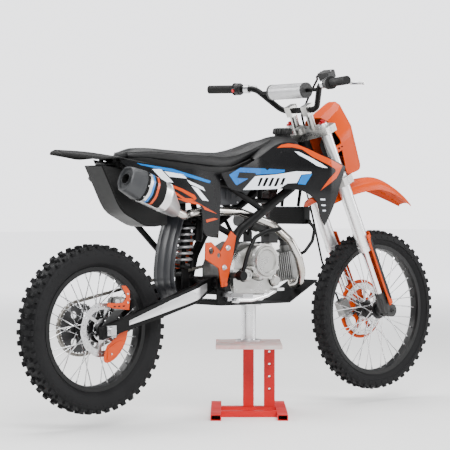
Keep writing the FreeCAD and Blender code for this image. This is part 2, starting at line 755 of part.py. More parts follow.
def engine_covers():
    """Right-hand cover with its round clutch boss, and the left-hand stator cover."""
    outline = [(56, -34), (226, -40), (262, -8), (270, 96), (226, 136), (140, 140), (76, 110), (52, 50)]
    right = plate("right_cover", "XZ_Plane", [outline], 42, Placement(from_pivot(0, -79.3, 0), Rotation()))
    rim_outline = [(0, -96), (66, -96), (66, -132), (62, -138), (55, -139), (53, -145), (44, -145), (41, -140),
                   (0, -140)]
    boss = lathe("clutch_boss", [rim_outline], Placement(from_pivot(180, 0, 79), Rotation()))
    lobes = []
    for index in range(8):
        turn = math.radians(22.5 + 45 * index)
        centre = from_pivot(180 + 63 * math.cos(turn), -136, 79 + 63 * math.sin(turn))
        lobes.append(cylinder(f"clutch_lobe_{index}", 8.5, 38, Placement(centre, ALONG_Y)))
    cover = [(0, -96), (23, -96), (23, -123), (18, -128), (11, -128), (9, -125), (0, -125)]
    small = lathe("small_cover", [cover], Placement(from_pivot(103, 0, 31), Rotation()))
    pump = lathe("pump_cover", [[(0, -96), (21, -96), (21, -112), (14, -121), (0, -121)]],
                 Placement(from_pivot(252, 0, 8), Rotation()))
    kick = cylinder("kick_boss", 12, 46, Placement(from_pivot(46, -138, 30), ALONG_Y))
    outline = [(120, -30), (240, -34), (272, 0), (276, 92), (226, 128), (150, 124)]
    left = plate("left_case", "XZ_Plane", [outline], 26, Placement(from_pivot(0, 71.3, 0), Rotation()))
    stator = cylinder("stator", 56, 30, Placement(from_pivot(200, 84, 46), ALONG_Y))
    return keep("engine_covers", fuse("covers", [right, boss, *lobes, small, pump, kick, left, stator]))


CYLINDER_TILT = 10
CYLINDER = Placement(from_pivot(294.3, 0, 44), Rotation(Vector(0, 1, 0), -CYLINDER_TILT))


def cylinder_barrel():
    """Finned barrel and head on one core, with the ports above and below."""
    core = Part.makeCylinder(44, 140, Vector(9, 0, 0), Vector(1, 0, 0))
    pieces = [core]
    for index in range(8):
        x = 18 + index * 10
        pieces.append(Part.makeBox(5, 112, 104, Vector(x, -56, -52)))
    pieces.append(Part.makeBox(52, 104, 100, Vector(98, -52, -50)))
    pieces.append(Part.makeBox(14, 78, 78, Vector(148, -39, -39)))
    pieces.append(Part.makeCylinder(21, 14, Vector(126, -10, -62), Vector(0, 0, 1)))
    pieces.append(Part.makeCylinder(20, 22, Vector(120, 0, 48), Vector(0, 0, 1)))
    body = joined(pieces)
    body.Placement = CYLINDER
    foot = Part.makeBox(22, 96, 96, from_pivot(292.3, -48, -4))
    body = joined([body, foot])
    return feature("cylinder", body)


def intake():
    """Manifold, carburettor and a cone filter."""
    port = CYLINDER.multVec(Vector(120, 0, 70.3))
    bend = CYLINDER.multVec(Vector(120, 0, 98))
    mouth = from_pivot(356, 0, 176)
    manifold = tube([port, bend, mouth], 17, 26)
    body = bar(mouth, from_pivot(296, 0, 196), 27)
    bowl = Part.makeBox(44, 46, 46, from_pivot(302, -23, 142))
    throat = bar(from_pivot(298, 0, 195), from_pivot(250, 0, 211), 19)
    start = from_pivot(264, 0, 206)
    run = (from_pivot(170, 0, 236) - start)
    cone = Part.makeCone(24, 31, run.Length, start, run)
    return feature("intake", joined([manifold, body, bowl, throat, cone]))


def kick_lever():
    """Kick starter, folded forward along the clutch cover."""
    lever = tube([from_pivot(46, -156, 30), from_pivot(70, -160, 110), from_pivot(104, -162, 168),
                  from_pivot(150, -176, 190), from_pivot(200, -192, 198)], 7.5, 24)
    boss = bar(from_pivot(46, -138.3, 30), from_pivot(46, -166, 30), 17)
    return feature("kick_lever", joined([lever, boss]))


MUFFLER_RINGS = [(-714, -128, -311, 20, 20), (-786, -146, -260, 42, 50), (-905, -154, -218, 44, 52),
                 (-905.4, -154.02, -217.86, 45, 53), (-966, -156, -195, 37, 44)]


def muffler_centre(index):
    x, y, z = MUFFLER_RINGS[index][:3]
    return from_head(x, y, z)


def muffler_ring(index):
    """One eight-sided ring of the muffler, square to its run."""
    wide, tall = MUFFLER_RINGS[index][3:]
    run = muffler_centre(4) - muffler_centre(1)
    up = run.cross(Vector(0, 1, 0)).normalize()
    across = up.cross(run).normalize()
    corners = [(1, 0.45), (0.55, 1), (-0.55, 1), (-1, 0.45), (-1, -0.45), (-0.55, -1), (0.55, -1), (1, -0.45)]
    return ring([muffler_centre(index) + across * (wide * a) + up * (tall * b) for a, b in corners])


def exhaust_header():
    """Pipe from the port under the head, up past the barrel and back inside the spar."""
    port = CYLINDER.multVec(Vector(126, -10, -62.3))
    first = port + CYLINDER.Rotation.multVec(Vector(0, 0, -22))
    inlet = muffler_centre(0)
    run = (muffler_centre(4) - muffler_centre(1)).normalize()
    path = [port, first, from_pivot(414, -72, -8), from_pivot(388, -108, 36), from_pivot(364, -116, 90),
            from_pivot(330, -108, 150), from_pivot(280, -60, 214), from_pivot(130, -52, 258),
            from_pivot(-54, -74, 266), from_head(-628, -72, -320), inlet - run * 40, inlet - run * 0.3]
    return feature("exhaust_header", tube(path, 15, 60))


def muffler():
    return feature("muffler", loft([muffler_ring(0), muffler_ring(1), muffler_ring(2)], True))


def muffler_cap():
    cap = loft([muffler_ring(3), muffler_ring(4)], True)
    run = (muffler_centre(4) - muffler_centre(3)).normalize()
    outlet = Part.makeCylinder(19, 40, muffler_centre(4) - run * 34, run)
    return feature("muffler_cap", cap.cut(outlet))


def oil_cooler():
    """Finned cooler across the frame with its hose."""
    pieces = [Part.makeBox(30, 190, 66, from_head(-63.4, -95, -357.5))]
    for index in range(7):
        pieces.append(Part.makeBox(36, 176, 3, from_head(-66.4, -88, -352 + 9 * index)))
    pieces.append(tube([from_head(-48.4, -104, -347.5), from_head(-37.4, -124, -373.5),
                        from_head(-47.4, -122, -419.5), from_pivot(400, -112, 110), from_pivot(382, -88, 96)], 6, 24))
    pieces.append(bar(from_head(-48.4, -95, -347.5), from_head(-48.4, -110, -347.5), 8))
    return feature("oil_cooler", joined(pieces))


# Bodywork

def tank_section(x, half_width, low, high):
    """One ring of the tank: flat below, round above."""
    return oval(from_head(x, 0, (low + high) / 2), Vector(0, 1, 0), Vector(0, 0, 1), half_width,
                (high - low) / 2)


def fuel_tank():
    rings = [tank_section(-290, 84, -150, -42), tank_section(-210, 104, -178, -16),
             tank_section(-120, 104, -170, -10), tank_section(-62, 74, -140, -22)]
    body = loft(rings)
    neck = Part.makeCylinder(30, 24, from_head(-86, 0, -34))
    slot = bar(in_steering(0, 0, -400), in_steering(0, 0, 20), mm["head_tube_radius"] + 4)
    tunnel = Part.makeBox(300, 40, 90, from_head(-300, -20, -196))
    saddle = seat_shape().translated(Vector(0, 0, -0.5))
    return feature("fuel_tank", joined([body, neck]).cut(slot).cut(tunnel).cut(saddle).cut(seat_shape()))


def tank_cap():
    outline = [(0, -14), (26, -14), (32, -8), (34, 8), (28, 13), (0, 15)]
    place = Placement(from_head(-86, 0, 4.3), Rotation(Vector(1, 0, 0), 90))
    return keep("tank_cap", lathe("cap", [outline], place))


def seat_shape():
    """One long padded saddle, its nose up on the tank."""
    stations = [(-870, 52, -100, 20), (-700, 88, -98, 30), (-540, 92, -104, 32), (-380, 84, -100, 34),
                (-250, 66, -70, 30), (-160, 52, -34, 22)]
    rings = [oval(from_head(x, 0, z), Vector(0, 1, 0), Vector(0, 0, 1), wide, tall)
             for x, wide, z, tall in stations]
    return loft(rings)


def seat():
    return feature("seat", seat_shape())


def shroud_spread(x, z):
    """How far out a shroud stands at a point given from the head."""
    spread = 112 + 58 * min(1.0, max(0.0, (x + 300) / 300.0))
    over = max(0.0, z + 150)
    under = max(0.0, -230 - z)
    return spread - 0.0035 * over ** 2 - 0.0012 * under ** 2


def side_net(columns, spread, side, count=4):
    """Net of a side panel: each column runs from its top to its bottom point."""
    net = []
    for top_x, top_z, low_x, low_z in columns:
        column = []
        for step in range(count):
            share = step / (count - 1)
            x = top_x + (low_x - top_x) * share
            z = top_z + (low_z - top_z) * share
            column.append(from_head(x, side * spread(x, z), z))
        net.append(column)
    return net


def shroud_vents(side):
    """Five leaning slots through a shroud, as one tool."""
    first, last, high, low, lean, wide = -318, -222, -186, -217, 16, 12
    slots = []
    for index in range(5):
        x = between(first, last, index / 4)
        corners = [(x + lean, high), (x + lean + wide, high), (x + wide, low), (x, low)]
        slots.append(slab([from_head(a, 80 * side, b) for a, b in corners], (0, side, 0), 120))
    return slots


def shrouds():
    """Panels from the seat's sides over the tank and out past the fork, pointed below."""
    columns = [(-493, -172, -459, -222), (-400, -152, -402, -237), (-300, -96, -320, -230), (-220, -50, -263, -224),
               (-147, -58, -180, -228), (-58, -86, -117, -235), (10, -112, -60, -270), (50, -128, -33, -330),
               (80, -142, -8, -362)]
    panels = []
    for side in (-1, 1):
        panel = skin(side_net(columns, shroud_spread, side), Vector(0, -4 * side, 0))
        boss = bar(from_head(-200, side * 106.5, -97), from_head(-200, side * 119.5, -97), 8)
        panels.append(panel.fuse(boss).cut(shroud_vents(side)))
    return feature("shrouds", Part.makeCompound(panels))


def panel_spread(x, z):
    """How far out a side panel stands at a point given from the head."""
    return 98 - 0.05 * max(0.0, -600 - x) - 0.0004 * (z + 250) ** 2


def side_panels():
    """Number panels under the seat, the right one open below for the exhaust pipe."""
    columns = [(-925, -128, -918, -140), (-849, -136, -849, -192), (-772, -145, -772, -250), (-690, -152, -704, -278),
               (-620, -158, -622, -280), (-572, -162, -575, -292), (-552, -165, -554, -386), (-482, -174, -485, -405)]
    full_left = {3: (-690, -152, -690, -318), 4: (-620, -158, -622, -352), 5: (-572, -162, -575, -378)}
    panels = []
    for side in (-1, 1):
        chosen = [full_left.get(index, column) if side > 0 else column for index, column in enumerate(columns)]
        panel = skin(side_net(chosen, panel_spread, side, 5), Vector(0, -4 * side, 0))
        boss = bar(from_head(-560, 77 * side, -196), from_head(-560, 95 * side, -196), 7)
        panels.append(panel.fuse(boss))
    return feature("side_panels", Part.makeCompound(panels))


def fender_row(x, z, half, drop):
    """One row across a fender: turned-down edges, shoulders and a raised middle."""
    shares = ((-1, 1), (-0.86, 0.42), (-0.5, 0.12), (-0.3, -0.06), (0, -0.12), (0.3, -0.06), (0.5, 0.12), (0.86, 0.42),
              (1, 1))
    return [from_head(x, share * half, z - fall * drop) for share, fall in shares]


def rear_fender():
    """Tail over the rear wheel, and the black inner guard that hangs from the rails below it."""
    tail = skin([fender_row(-1142, -99, 36, 12), fender_row(-1060, -102, 50, 18), fender_row(-1000, -107, 56, 20),
                 fender_row(-917.4, -114.3, 62, 6), fender_row(-860, -124.5, 68, 7),
                 fender_row(-640, -152, 74, 10)], Vector(0, 0, -4))
    spine = [(-1004, -166), (-968, -232), (-925, -306), (-860, -352), (-780, -370), (-690, -352)]
    sheet = skin([[from_head(x, y, z) for y in (-48.5, 0, 48.5)] for x, z in spine], Vector(3, 0, 4))
    walls = []
    for side in (-1, 1):
        rim = [(-1002, -166), (-966, -232), (-923, -304), (-859, -349), (-780, -367), (-692, -349), (-700, -196),
               (-917.4, -157.1)]
        walls.append(slab([from_head(x, 48.5 * side, z) for x, z in rim], (0, -side, 0), 4))
    return feature("rear_fender", Part.makeCompound([tail, sheet.multiFuse(walls)]))


# Side stand

SIDE_FOOT = (-362, 178, 386)


def side_stand():
    """Folded up on the left: a tube with a round foot and an eye at its pivot."""
    start = from_pivot(*SIDE_PIVOT)
    foot = from_pivot(*SIDE_FOOT)
    run = (foot - start)
    leg = bar(start + run * 0.036, foot, 11)
    eye = bar(start - Vector(0, 10, 0), start + Vector(0, 10, 0), 19)
    end = foot + run.normalize() * 8
    pad = bar(foot - run * 4, end, 24)
    hole = bar(start - Vector(0, 30, 0), start + Vector(0, 30, 0), mm["axle_radius"] + 0.3)
    return feature("side_stand", joined([leg, eye, pad]).cut(hole))


# Wheels

def tread_block(turn, first, second, length, height):
    """A block on the crown, between two (radius, y) points and square to the line through them."""
    out = Vector(math.cos(turn), 0, math.sin(turn))
    along = Vector(-math.sin(turn), 0, math.cos(turn)) * (length / 2)
    start = out * first[0] + Vector(0, first[1], 0)
    end = out * second[0] + Vector(0, second[1], 0)
    normal = along.cross(end - start).normalize()
    if normal.dot(out) < 0:
        normal = normal * -1
    sunk = 1.5
    corners = [start + along, end + along, end - along, start - along]
    return slab([corner - normal * sunk for corner in corners], normal, height + sunk)


def tread(label, radius, width, lug, pitches, place):
    """Blocks on both shoulders at each pitch, and between them one wide block or two by turns."""
    half, crown = width / 2, radius - lug
    pitch = 2 * math.pi / pitches
    length = pitch * radius * 0.46
    blocks = []
    for index in range(pitches):
        turn = index * pitch
        for side in (-1, 1):
            blocks.append(tread_block(turn, (crown - 1.2, side * half * 0.56), (crown - 7.2, side * half * 0.86),
                                      length, lug))
            if index % 2:
                blocks.append(tread_block(turn + pitch / 2, (crown, side * half * 0.14), (crown, side * half * 0.44),
                                          length * 0.8, lug))
        if index % 2 == 0:
            blocks.append(tread_block(turn + pitch / 2, (crown, -half * 0.28), (crown, half * 0.28), length * 0.8, lug))
    lugs = doc.addObject("Part::Feature", label + "_lugs")
    lugs.Shape = Part.makeCompound(blocks)
    lugs.Placement = place
    return lugs


def tyre(label, radius, width, rim_radius, rim_width, lug, pitches, place):
    """Carcass with its beads between the rim's flanges, and the lugs round its crown."""
    half = width / 2
    seat_half = rim_width / 2 - 5.6
    crown = radius - lug
    right = [(rim_radius - 12.4, -seat_half), (rim_radius + 0.5, -seat_half - 0.8),
             (rim_radius + 1.5, -seat_half - 5), (rim_radius + 18, -half * 0.84), (crown - 26, -half),
             (crown - 8, -half * 0.9), (crown, -half * 0.5)]
    outline = right + [(x, -y) for x, y in right[::-1]]
    carcass = lathe(label + "_body", [outline], place)
    lugs = tread(label, float(radius), float(width), float(lug), pitches, place)
    return keep(label, fuse(label + "_moulded", [carcass, lugs]))


def rim(label, radius, width, place):
    """Channel rim: flanges outside, a spoke bed inside."""
    half = width / 2
    depth = mm["rim_depth"]
    outline = [(radius, -half), (radius, -half + 4), (radius - 13, -half + 5), (radius - 15, -half * 0.4),
               (radius - 15, half * 0.4), (radius - 13, half - 5), (radius, half - 4), (radius, half),
               (radius - 16, half), (radius - depth, half * 0.5), (radius - depth, -half * 0.5),
               (radius - 16, -half)]
    return keep(label, lathe(label + "_body", [outline], place))


HUB_SPIGOT = 26


def hub(label, flange_radius, flange_y, right_y, left_y, place):
    """Hub shell with two spoke flanges and round spigots outside them, bored for the axle."""
    bore = mm["axle_radius"] + mm["bearing_clearance"]
    spigot = HUB_SPIGOT
    outline = [(bore, -right_y), (spigot, -right_y), (spigot, -flange_y - 6), (flange_radius, -flange_y - 4),
               (flange_radius, -flange_y + 2), (24, -flange_y + 8), (24, flange_y - 8),
               (flange_radius, flange_y - 2), (flange_radius, flange_y + 4), (spigot, flange_y + 6),
               (spigot, left_y), (bore, left_y)]
    return keep(label, lathe(label + "_body", [outline], place))


def spokes(label, rim_radius, flange_radius, flange_y, count, place):
    """Crossed wire spokes, hexagonal in section, from flange to spoke bed."""
    outer = rim_radius - mm["rim_depth"] + 1
    inner = flange_radius - 5
    crossing = 42.0
    wires = []
    for index in range(count):
        side = 1 if index % 2 else -1
        lead = crossing if index % 4 < 2 else -crossing
        angle = 360.0 * index / count
        start_angle = math.radians(angle + lead)
        end_angle = math.radians(angle)
        start = Vector(inner * math.cos(start_angle), side * flange_y, inner * math.sin(start_angle))
        end = Vector(outer * math.cos(end_angle), side * 3.0, outer * math.sin(end_angle))
        run = end - start
        across = run.cross(Vector(0, 1, 0)).normalize()
        other = run.cross(across).normalize()
        corners = []
        for step in range(6):
            turn = math.pi * step / 3
            corners.append(start + across * (2.0 * math.cos(turn)) + other * (2.0 * math.sin(turn)))
        wires.append(Part.Face(ring(corners)).extrude(run))
    shape = Part.makeCompound(wires)
    shape.Placement = place
    return feature(label, shape)


def disc(label, radius, y, place):
    """Wave-edged brake disc with slots, on its own plane beside the hub."""
    steps = 60
    bore = HUB_SPIGOT
    outline = []
    for step in range(steps):
        angle = 2 * math.pi * step / steps
        size = radius - 3 * (1 - math.cos(10 * angle)) / 2
        outline.append((size * math.cos(angle), size * math.sin(angle)))
    circles = [(0, 0, bore)]
    for step in range(6):
        angle = math.radians(60 * step)
        circles.append(((bore + radius) / 2.15 * math.cos(angle), (bore + radius) / 2.15 * math.sin(angle), 13))
    spot = Placement(place.Base + Vector(0, y, 0), Rotation())
    ring_plate = plate(label + "_ring", "XZ_Plane", [outline], mm["disc_thickness"], spot, circles)
    return keep(label, ring_plate)


def sprocket(label, place):
    teeth = 43
    outline = []
    for step in range(teeth * 2):
        angle = math.pi * step / teeth
        size = mm["sprocket_radius"] - (0 if step % 2 else 7)
        outline.append((size * math.cos(angle), size * math.sin(angle)))
    circles = [(0, 0, HUB_SPIGOT)]
    for step in range(6):
        angle = math.radians(60 * step)
        circles.append((54 * math.cos(angle), 54 * math.sin(angle), 13))
    spot = Placement(place.Base + Vector(0, mm["chain_line"], 0), Rotation())
    return keep(label, plate(label + "_ring", "XZ_Plane", [outline], 6, spot, circles))


# Steering assembly, in the steering's own frame

def steer_bar(start, end, radius):
    return bar(Vector(*start), Vector(*end), radius)


def steering_feature(label, shapes):
    shape = joined(shapes) if len(shapes) > 1 else shapes[0]
    shape.Placement = STEERING.multiply(shape.Placement)
    return feature(label, shape)


def triple_clamps():
    """Upper and lower clamp, the stem between them and the bar risers."""
    offset = mm["stem_offset"]
    pieces = []
    for high, low in ((-8, -36), (-218, -250)):
        outline = [Vector(-34, -30, low), Vector(-34, 30, low), Vector(offset - 24, half_leg + 34, low),
                   Vector(offset + 28, half_leg + 34, low), Vector(offset + 34, half_leg, low),
                   Vector(offset + 6, 0, low), Vector(offset + 34, -half_leg, low),
                   Vector(offset + 28, -half_leg - 34, low), Vector(offset - 24, -half_leg - 34, low)]
        pieces.append(slab(outline, (0, 0, 1), high - low))
    pieces.append(steer_bar((0, 0, -250), (0, 0, 0), mm["stem_radius"]))
    pieces.append(steer_bar((0, 0, -12), (0, 0, 6), 20))
    for side in (-1, 1):
        pieces.append(steer_bar((30, 44 * side, -10), (35, 44 * side, 50), 14))
        pieces.append(Part.makeBox(40, 30, 40, Vector(15, 44 * side - 15, 46)))
    body = joined(pieces)
    for side in (-1, 1):
        y = half_leg * side
        body = body.cut(steer_bar((offset, y, -100), (offset, y, 40), mm["upper_tube_radius"]))
        body = body.cut(steer_bar((offset, y, -400), (offset, y, -100), mm["lower_tube_radius"]))
    body = body.cut(steer_bar((35, -90, 65), (35, 90, 65), mm["bar_radius"]))
    return steering_feature("triple_clamps", [body])


def fork_tubes():
    """Outer tubes with their caps, from above the upper clamp to the seals."""
    offset, radius, wide = mm["stem_offset"], mm["upper_tube_radius"], mm["lower_tube_radius"]
    pieces = []
    for side in (-1, 1):
        y = half_leg * side
        upper = steer_bar((offset, y, -212), (offset, y, -2), radius)
        lower = steer_bar((offset, y, -522), (offset, y, -206), wide)
        leg = upper.fuse(lower)
        cap = steer_bar((offset, y, -4), (offset, y, 6), radius - 4)
        seal = steer_bar((offset, y, -532), (offset, y, -510), wide + 2)
        bore = steer_bar((offset, y, -540), (offset, y, -60), mm["slider_radius"] + 0.3)
        pieces.append(joined([leg, cap, seal]).cut(bore))
    return steering_feature("fork_tubes", [Part.makeCompound(pieces)])


def fork_sliders():
    offset, radius = mm["stem_offset"], mm["slider_radius"]
    low = 57 - mm["fork_length"]
    legs = [steer_bar((offset, half_leg * side, low), (offset, half_leg * side, -62), radius)
            for side in (-1, 1)]
    return steering_feature("fork_sliders", [Part.makeCompound(legs)])


def fork_feet():
    """Axle lugs at the legs' ends, with the axle through both."""
    offset = mm["stem_offset"]
    pieces = []
    foot = -mm["fork_length"]
    for side in (-1, 1):
        y = half_leg * side
        shell = steer_bar((offset, y, foot + 12), (offset, y, foot + 87), mm["slider_radius"] + 4)
        lug = steer_bar((fork_x, y - 17, foot), (fork_x, y + 17, foot), 25)
        neck = Part.makeBox(40, 32, 60, Vector(offset - 18, y - 16, foot + 4))
        socket = steer_bar((offset, y, foot + 57), (offset, y, foot + 102), mm["slider_radius"])
        collar = steer_bar((fork_x, 63.5 * side, foot), (fork_x, 72 * side, foot), 12)
        pieces.append(joined([shell, lug, neck, collar]).cut(socket))
    axle_half = half_leg + 22
    pieces.append(steer_bar((fork_x, -axle_half, foot), (fork_x, axle_half, foot), mm["axle_radius"]))
    body = joined(pieces)
    bore = steer_bar((fork_x, -150, foot), (fork_x, 150, foot), 4.5)
    return steering_feature("fork_feet", [body.cut(bore)])


def fork_guards():
    """Wrap-round guards ahead of the sliders."""
    offset = mm["stem_offset"]
    foot = -mm["fork_length"]
    pieces = []
    for side in (-1, 1):
        y = half_leg * side
        outer = steer_bar((offset + 6, y, foot + 32), (offset + 6, y, foot + 332), 34)
        inner = steer_bar((offset + 6, y, foot + 22), (offset + 6, y, foot + 342), 30)
        shell = outer.cut(inner)
        rear = Part.makeBox(60, 90, 340, Vector(offset - 58, y - 45, foot + 12))
        inner_side = Part.makeBox(90, 60, 340, Vector(offset - 40, y - 45 if side > 0 else y - 15, foot + 12))
        if side > 0:
            inner_side.translate(Vector(0, -30, 0))
        else:
            inner_side.translate(Vector(0, 30, 0))
        foot_tab = Part.makeBox(15, 20, 20, Vector(offset + 22.3, y - 10, foot + 37))
        pieces.append(shell.cut(rear).cut(inner_side).fuse(foot_tab))
    return steering_feature("fork_guards", [Part.makeCompound(pieces)])


BAR_CENTRE = (35, 65)
BAR_GRIP = (-39, 201)


def bar_points(side):
    """Route of the bar from its centre to one end."""
    cx, cz = BAR_CENTRE
    gx, gz = BAR_GRIP
    return [Vector(cx, 0, cz), Vector(cx, 92 * side, cz), Vector(12, (mm["bar_half_width"] - 199) * side, 172),
            Vector(gx, mm["bar_half_width"] * side, gz)]


def handlebar():
    """Bent bar with its cross brace."""
    right, left = bar_points(-1), bar_points(1)
    path = right[::-1][:-1] + left[1:]
    whole = tube(path, mm["bar_radius"], 60)
    brace = steer_bar((15, -152, 152), (15, 152, 152), 7)
    return steering_feature("handlebar", [whole, brace])


def bar_pad():
    pad = steer_bar((15, -95, 152), (15, 95, 152), 29)
    core = steer_bar((15, -100, 152), (15, 100, 152), 7)
    return steering_feature("bar_pad", [pad.cut(core)])


def grip_axis(side):
    """Start and unit direction of the straight end of the bar."""
    points = bar_points(side)
    run = (points[3] - points[2]).normalize()
    return points[3], run


def grips():
    """Rubber grips with flanges, closed over the bar ends."""
    pieces = []
    for side in (-1, 1):
        end, run = grip_axis(side)
        start = end - run * mm["grip_length"]
        sleeve = Part.makeCylinder(16, mm["grip_length"] + 3, start, run)
        flange = Part.makeCylinder(24, 5, start, run)
        bore = Part.makeCylinder(mm["bar_radius"], mm["grip_length"] + 1.2, start - run, run)
        pieces.append(joined([sleeve, flange]).cut(bore))
    return steering_feature("grips", [Part.makeCompound(pieces)])


def bar_controls():
    """Lever perches, levers, throttle housing, brake reservoir and kill switch."""
    pieces = []
    for side in (-1, 1):
        end, run = grip_axis(side)
        bore = Part.makeCylinder(mm["bar_radius"], 140, end - run * 240, run)
        housing = Part.makeCylinder(23, 26, end - run * (mm["grip_length"] + 27), run)
        perch = Part.makeCylinder(18, 22, end - run * (mm["grip_length"] + 62), run)
        perch_start = end - run * (mm["grip_length"] + 51)
        pivot = perch_start + Vector(44, 0, -10)
        arm = Part.makeCylinder(8, 44, perch_start, Vector(44, 0, -10))
        lever = tube([pivot, pivot + Vector(30, 40 * side, -16), end + Vector(92, -60 * side, -50),
                      end + Vector(92, -14 * side, -50)], 6, 30)
        group = joined([perch, arm, lever]).cut(bore)
        pieces += [housing.cut(bore), group]
        if side < 0:
            tank = Part.makeBox(36, 56, 30, perch_start + Vector(14, -20, 6))
            pieces[-1] = joined([group, tank]).cut(bore)
    return steering_feature("bar_controls", [Part.makeCompound(pieces)])


def front_fender():
    """High fender under the lower clamp, ahead of the head, on a boss below the clamp."""
    stations = [(62, -262, 40, 34), (120, -246, 56, 36), (230, -205, 61, 40), (330, -184, 63, 42), (398, -182, 62, 42),
                (470, -204, 58, 38), (536, -240, 47, 26), (587, -276, 33, 12)]
    shape = skin([fender_row(*station) for station in stations], Vector(0, 0, -4))
    mount = bar(in_steering(mm["stem_offset"] - 10, 0, -250.3), in_steering(mm["stem_offset"] - 10, 0, -278), 16)
    return feature("front_fender", shape.fuse(mount))


def lamp_ring(x, wide, tall):
    """One ring of the lamp, across the steering assembly."""
    return oval(Vector(x, 0, -130), (0, 1, 0), (0, 0, 1), wide, tall)


def headlight_mask():
    """Mask ahead of the fork, open behind and round the lamp."""
    def ring_at(x, half, low, high):
        waist = low + 0.62 * (high - low)
        return ring([Vector(x, -half * 0.72, low), Vector(x, half * 0.72, low), Vector(x, half, waist),
                     Vector(x, half * 0.62, high - 14), Vector(x, half * 0.3, high), Vector(x, -half * 0.3, high),
                     Vector(x, -half * 0.62, high - 14), Vector(x, -half, waist)])

    outer = loft([ring_at(96, 98, -236, 6), ring_at(170, 90, -246, 20), ring_at(208, 58, -226, 26)], True)
    inner = loft([ring_at(90, 94, -232, 2), ring_at(168, 86, -242, 16), ring_at(203, 54, -222, 22)], True)
    clips = []
    for side in (-1, 1):
        low_y = 83 if side > 0 else -95
        start_x = mm["stem_offset"] + mm["upper_tube_radius"] + 0.3
        clips.append(Part.makeBox(103 - start_x, 12, 24, Vector(start_x, low_y, -127)))
    lamp_hole = loft([lamp_ring(190, 48, 54), lamp_ring(220, 48, 54)])
    return steering_feature("headlight_mask", [outer.cut(inner).cut(lamp_hole)] + clips)


def headlamp():
    """Lamp body in the mask, its lens standing out through the hole."""
    shell = loft([lamp_ring(110, 40, 46), lamp_ring(160, 46, 52), lamp_ring(200, 46.5, 52.5), lamp_ring(212, 40, 46)])
    stay = steer_bar((150, -79.5, -130), (150, 79.5, -130), 5)
    return steering_feature("headlamp", [shell, stay])


def front_caliper():
    disc_y = 58
    z = -mm["fork_length"]
    block = Part.makeBox(42, 38, 62, Vector(fork_x - 112, disc_y - 18, z + 22))
    slot = Part.makeBox(60, 14, 90, Vector(fork_x - 104, disc_y - 7, z + 0))
    stay = Part.makeBox(46, 4, 30, Vector(fork_x - 80, disc_y + 9.6, z + 44))
    return steering_feature("front_caliper", [joined([block, stay]).cut(slot)])


def front_guard():
    """Orange cover on the outer face of the front disc, round the axle's collar, open at the caliper."""
    z = -mm["fork_length"]
    outer = steer_bar((fork_x, 65.1, z), (fork_x, 67.2, z), 116)
    holes = [steer_bar((fork_x, 60, z), (fork_x, 75, z), 12.3)]
    for angle in (200, 250, 300, 350, 40):
        turn = math.radians(angle)
        x, dz = fork_x + 74 * math.cos(turn), z + 74 * math.sin(turn)
        holes.append(steer_bar((x, 60, dz), (x, 75, dz), 24))
    caliper_gap = Part.makeBox(60, 20, 90, Vector(fork_x - 126, 58, z + 14))
    return steering_feature("front_guard", [outer.cut(holes[0].multiFuse(holes[1:])).cut(caliper_gap)])


def brake_hose():
    """From the reservoir on the right, behind the mask and down outside the left leg to the caliper."""
    end, run = grip_axis(-1)
    perch_start = end - run * (mm["grip_length"] + 51)
    tank_end = perch_start + Vector(32, 36.3, 20)
    foot = -mm["fork_length"]
    path = [tank_end, tank_end + Vector(0, 26, 0), Vector(62, -120, 176), Vector(80, -30, 108), Vector(78, 46, 30),
            Vector(78, 58, -60), Vector(74, 128, -84), Vector(62, 133, -200), Vector(40, 133, foot + 420),
            Vector(2, 124, foot + 240), Vector(-28, 82, foot + 150), Vector(-28, 72, foot + 110),
            Vector(-28, 72, foot + 84.3)]
    return steering_feature("brake_hose", [tube(path, 4, 26)])


# Assembly

stand_frame()
stand_board()
stand_spacer()
frame()
frame_plates()
skid_plate()
footpegs()
foot_levers()
swingarm()
rear_axle()
shock()
shock_spring()
mud_flap()
chain()
rear_caliper()
rear_guards()
crankcase()
engine_covers()
cylinder_barrel()
intake()
kick_lever()
exhaust_header()
muffler()
muffler_cap()
oil_cooler()
fuel_tank()
tank_cap()
seat()
shrouds()
side_panels()
rear_fender()
side_stand()
tyre("rear_tyre", mm["rear_tyre_radius"], mm["rear_tyre_width"], mm["rear_rim_radius"],
     mm["rear_rim_width"], mm["lug_height"], 48, REAR_WHEEL)
rim("rear_rim", mm["rear_rim_radius"], mm["rear_rim_width"], REAR_WHEEL)
hub("rear_hub", 44, 34, hub_right, hub_left, REAR_WHEEL)
spokes("rear_spokes", mm["rear_rim_radius"], 44, 34, 36, REAR_WHEEL)
disc("rear_disc", mm["rear_disc_radius"], -60, REAR_WHEEL)
sprocket("rear_sprocket", REAR_WHEEL)
tyre("front_tyre", mm["front_tyre_radius"], mm["front_tyre_width"], mm["front_rim_radius"],
     mm["front_rim_width"], mm["front_lug_height"], 52, FRONT_WHEEL)
rim("front_rim", mm["front_rim_radius"], mm["front_rim_width"], FRONT_WHEEL)
hub("front_hub", 36, 30, 63, 63, FRONT_WHEEL)
spokes("front_spokes", mm["front_rim_radius"], 36, 30, 36, FRONT_WHEEL)
disc("front_disc", mm["front_disc_radius"], 58, FRONT_WHEEL)
triple_clamps()
fork_tubes()
fork_sliders()
fork_feet()
fork_guards()
handlebar()
bar_pad()
grips()
bar_controls()
front_fender()
headlight_mask()
headlamp()
front_caliper()
front_guard()
brake_hose()

doc.recompute()

# Every object has to be sound before any file is written

faults = [item.Label for item in doc.Objects if {"Invalid", "Error"} & set(item.State)]
for label, piece in PARTS.items():
    if piece.Shape.isNull() or not piece.Shape.isValid():
        faults.append(label)
if faults:
    raise RuntimeError("unsound: " + ", ".join(faults))

os.makedirs("parts", exist_ok=True)
for label, piece in PARTS.items():
    piece.Shape.exportStep(f"parts/{label}.step")
print(len(PARTS), "sub-parts")
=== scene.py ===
import json
import math

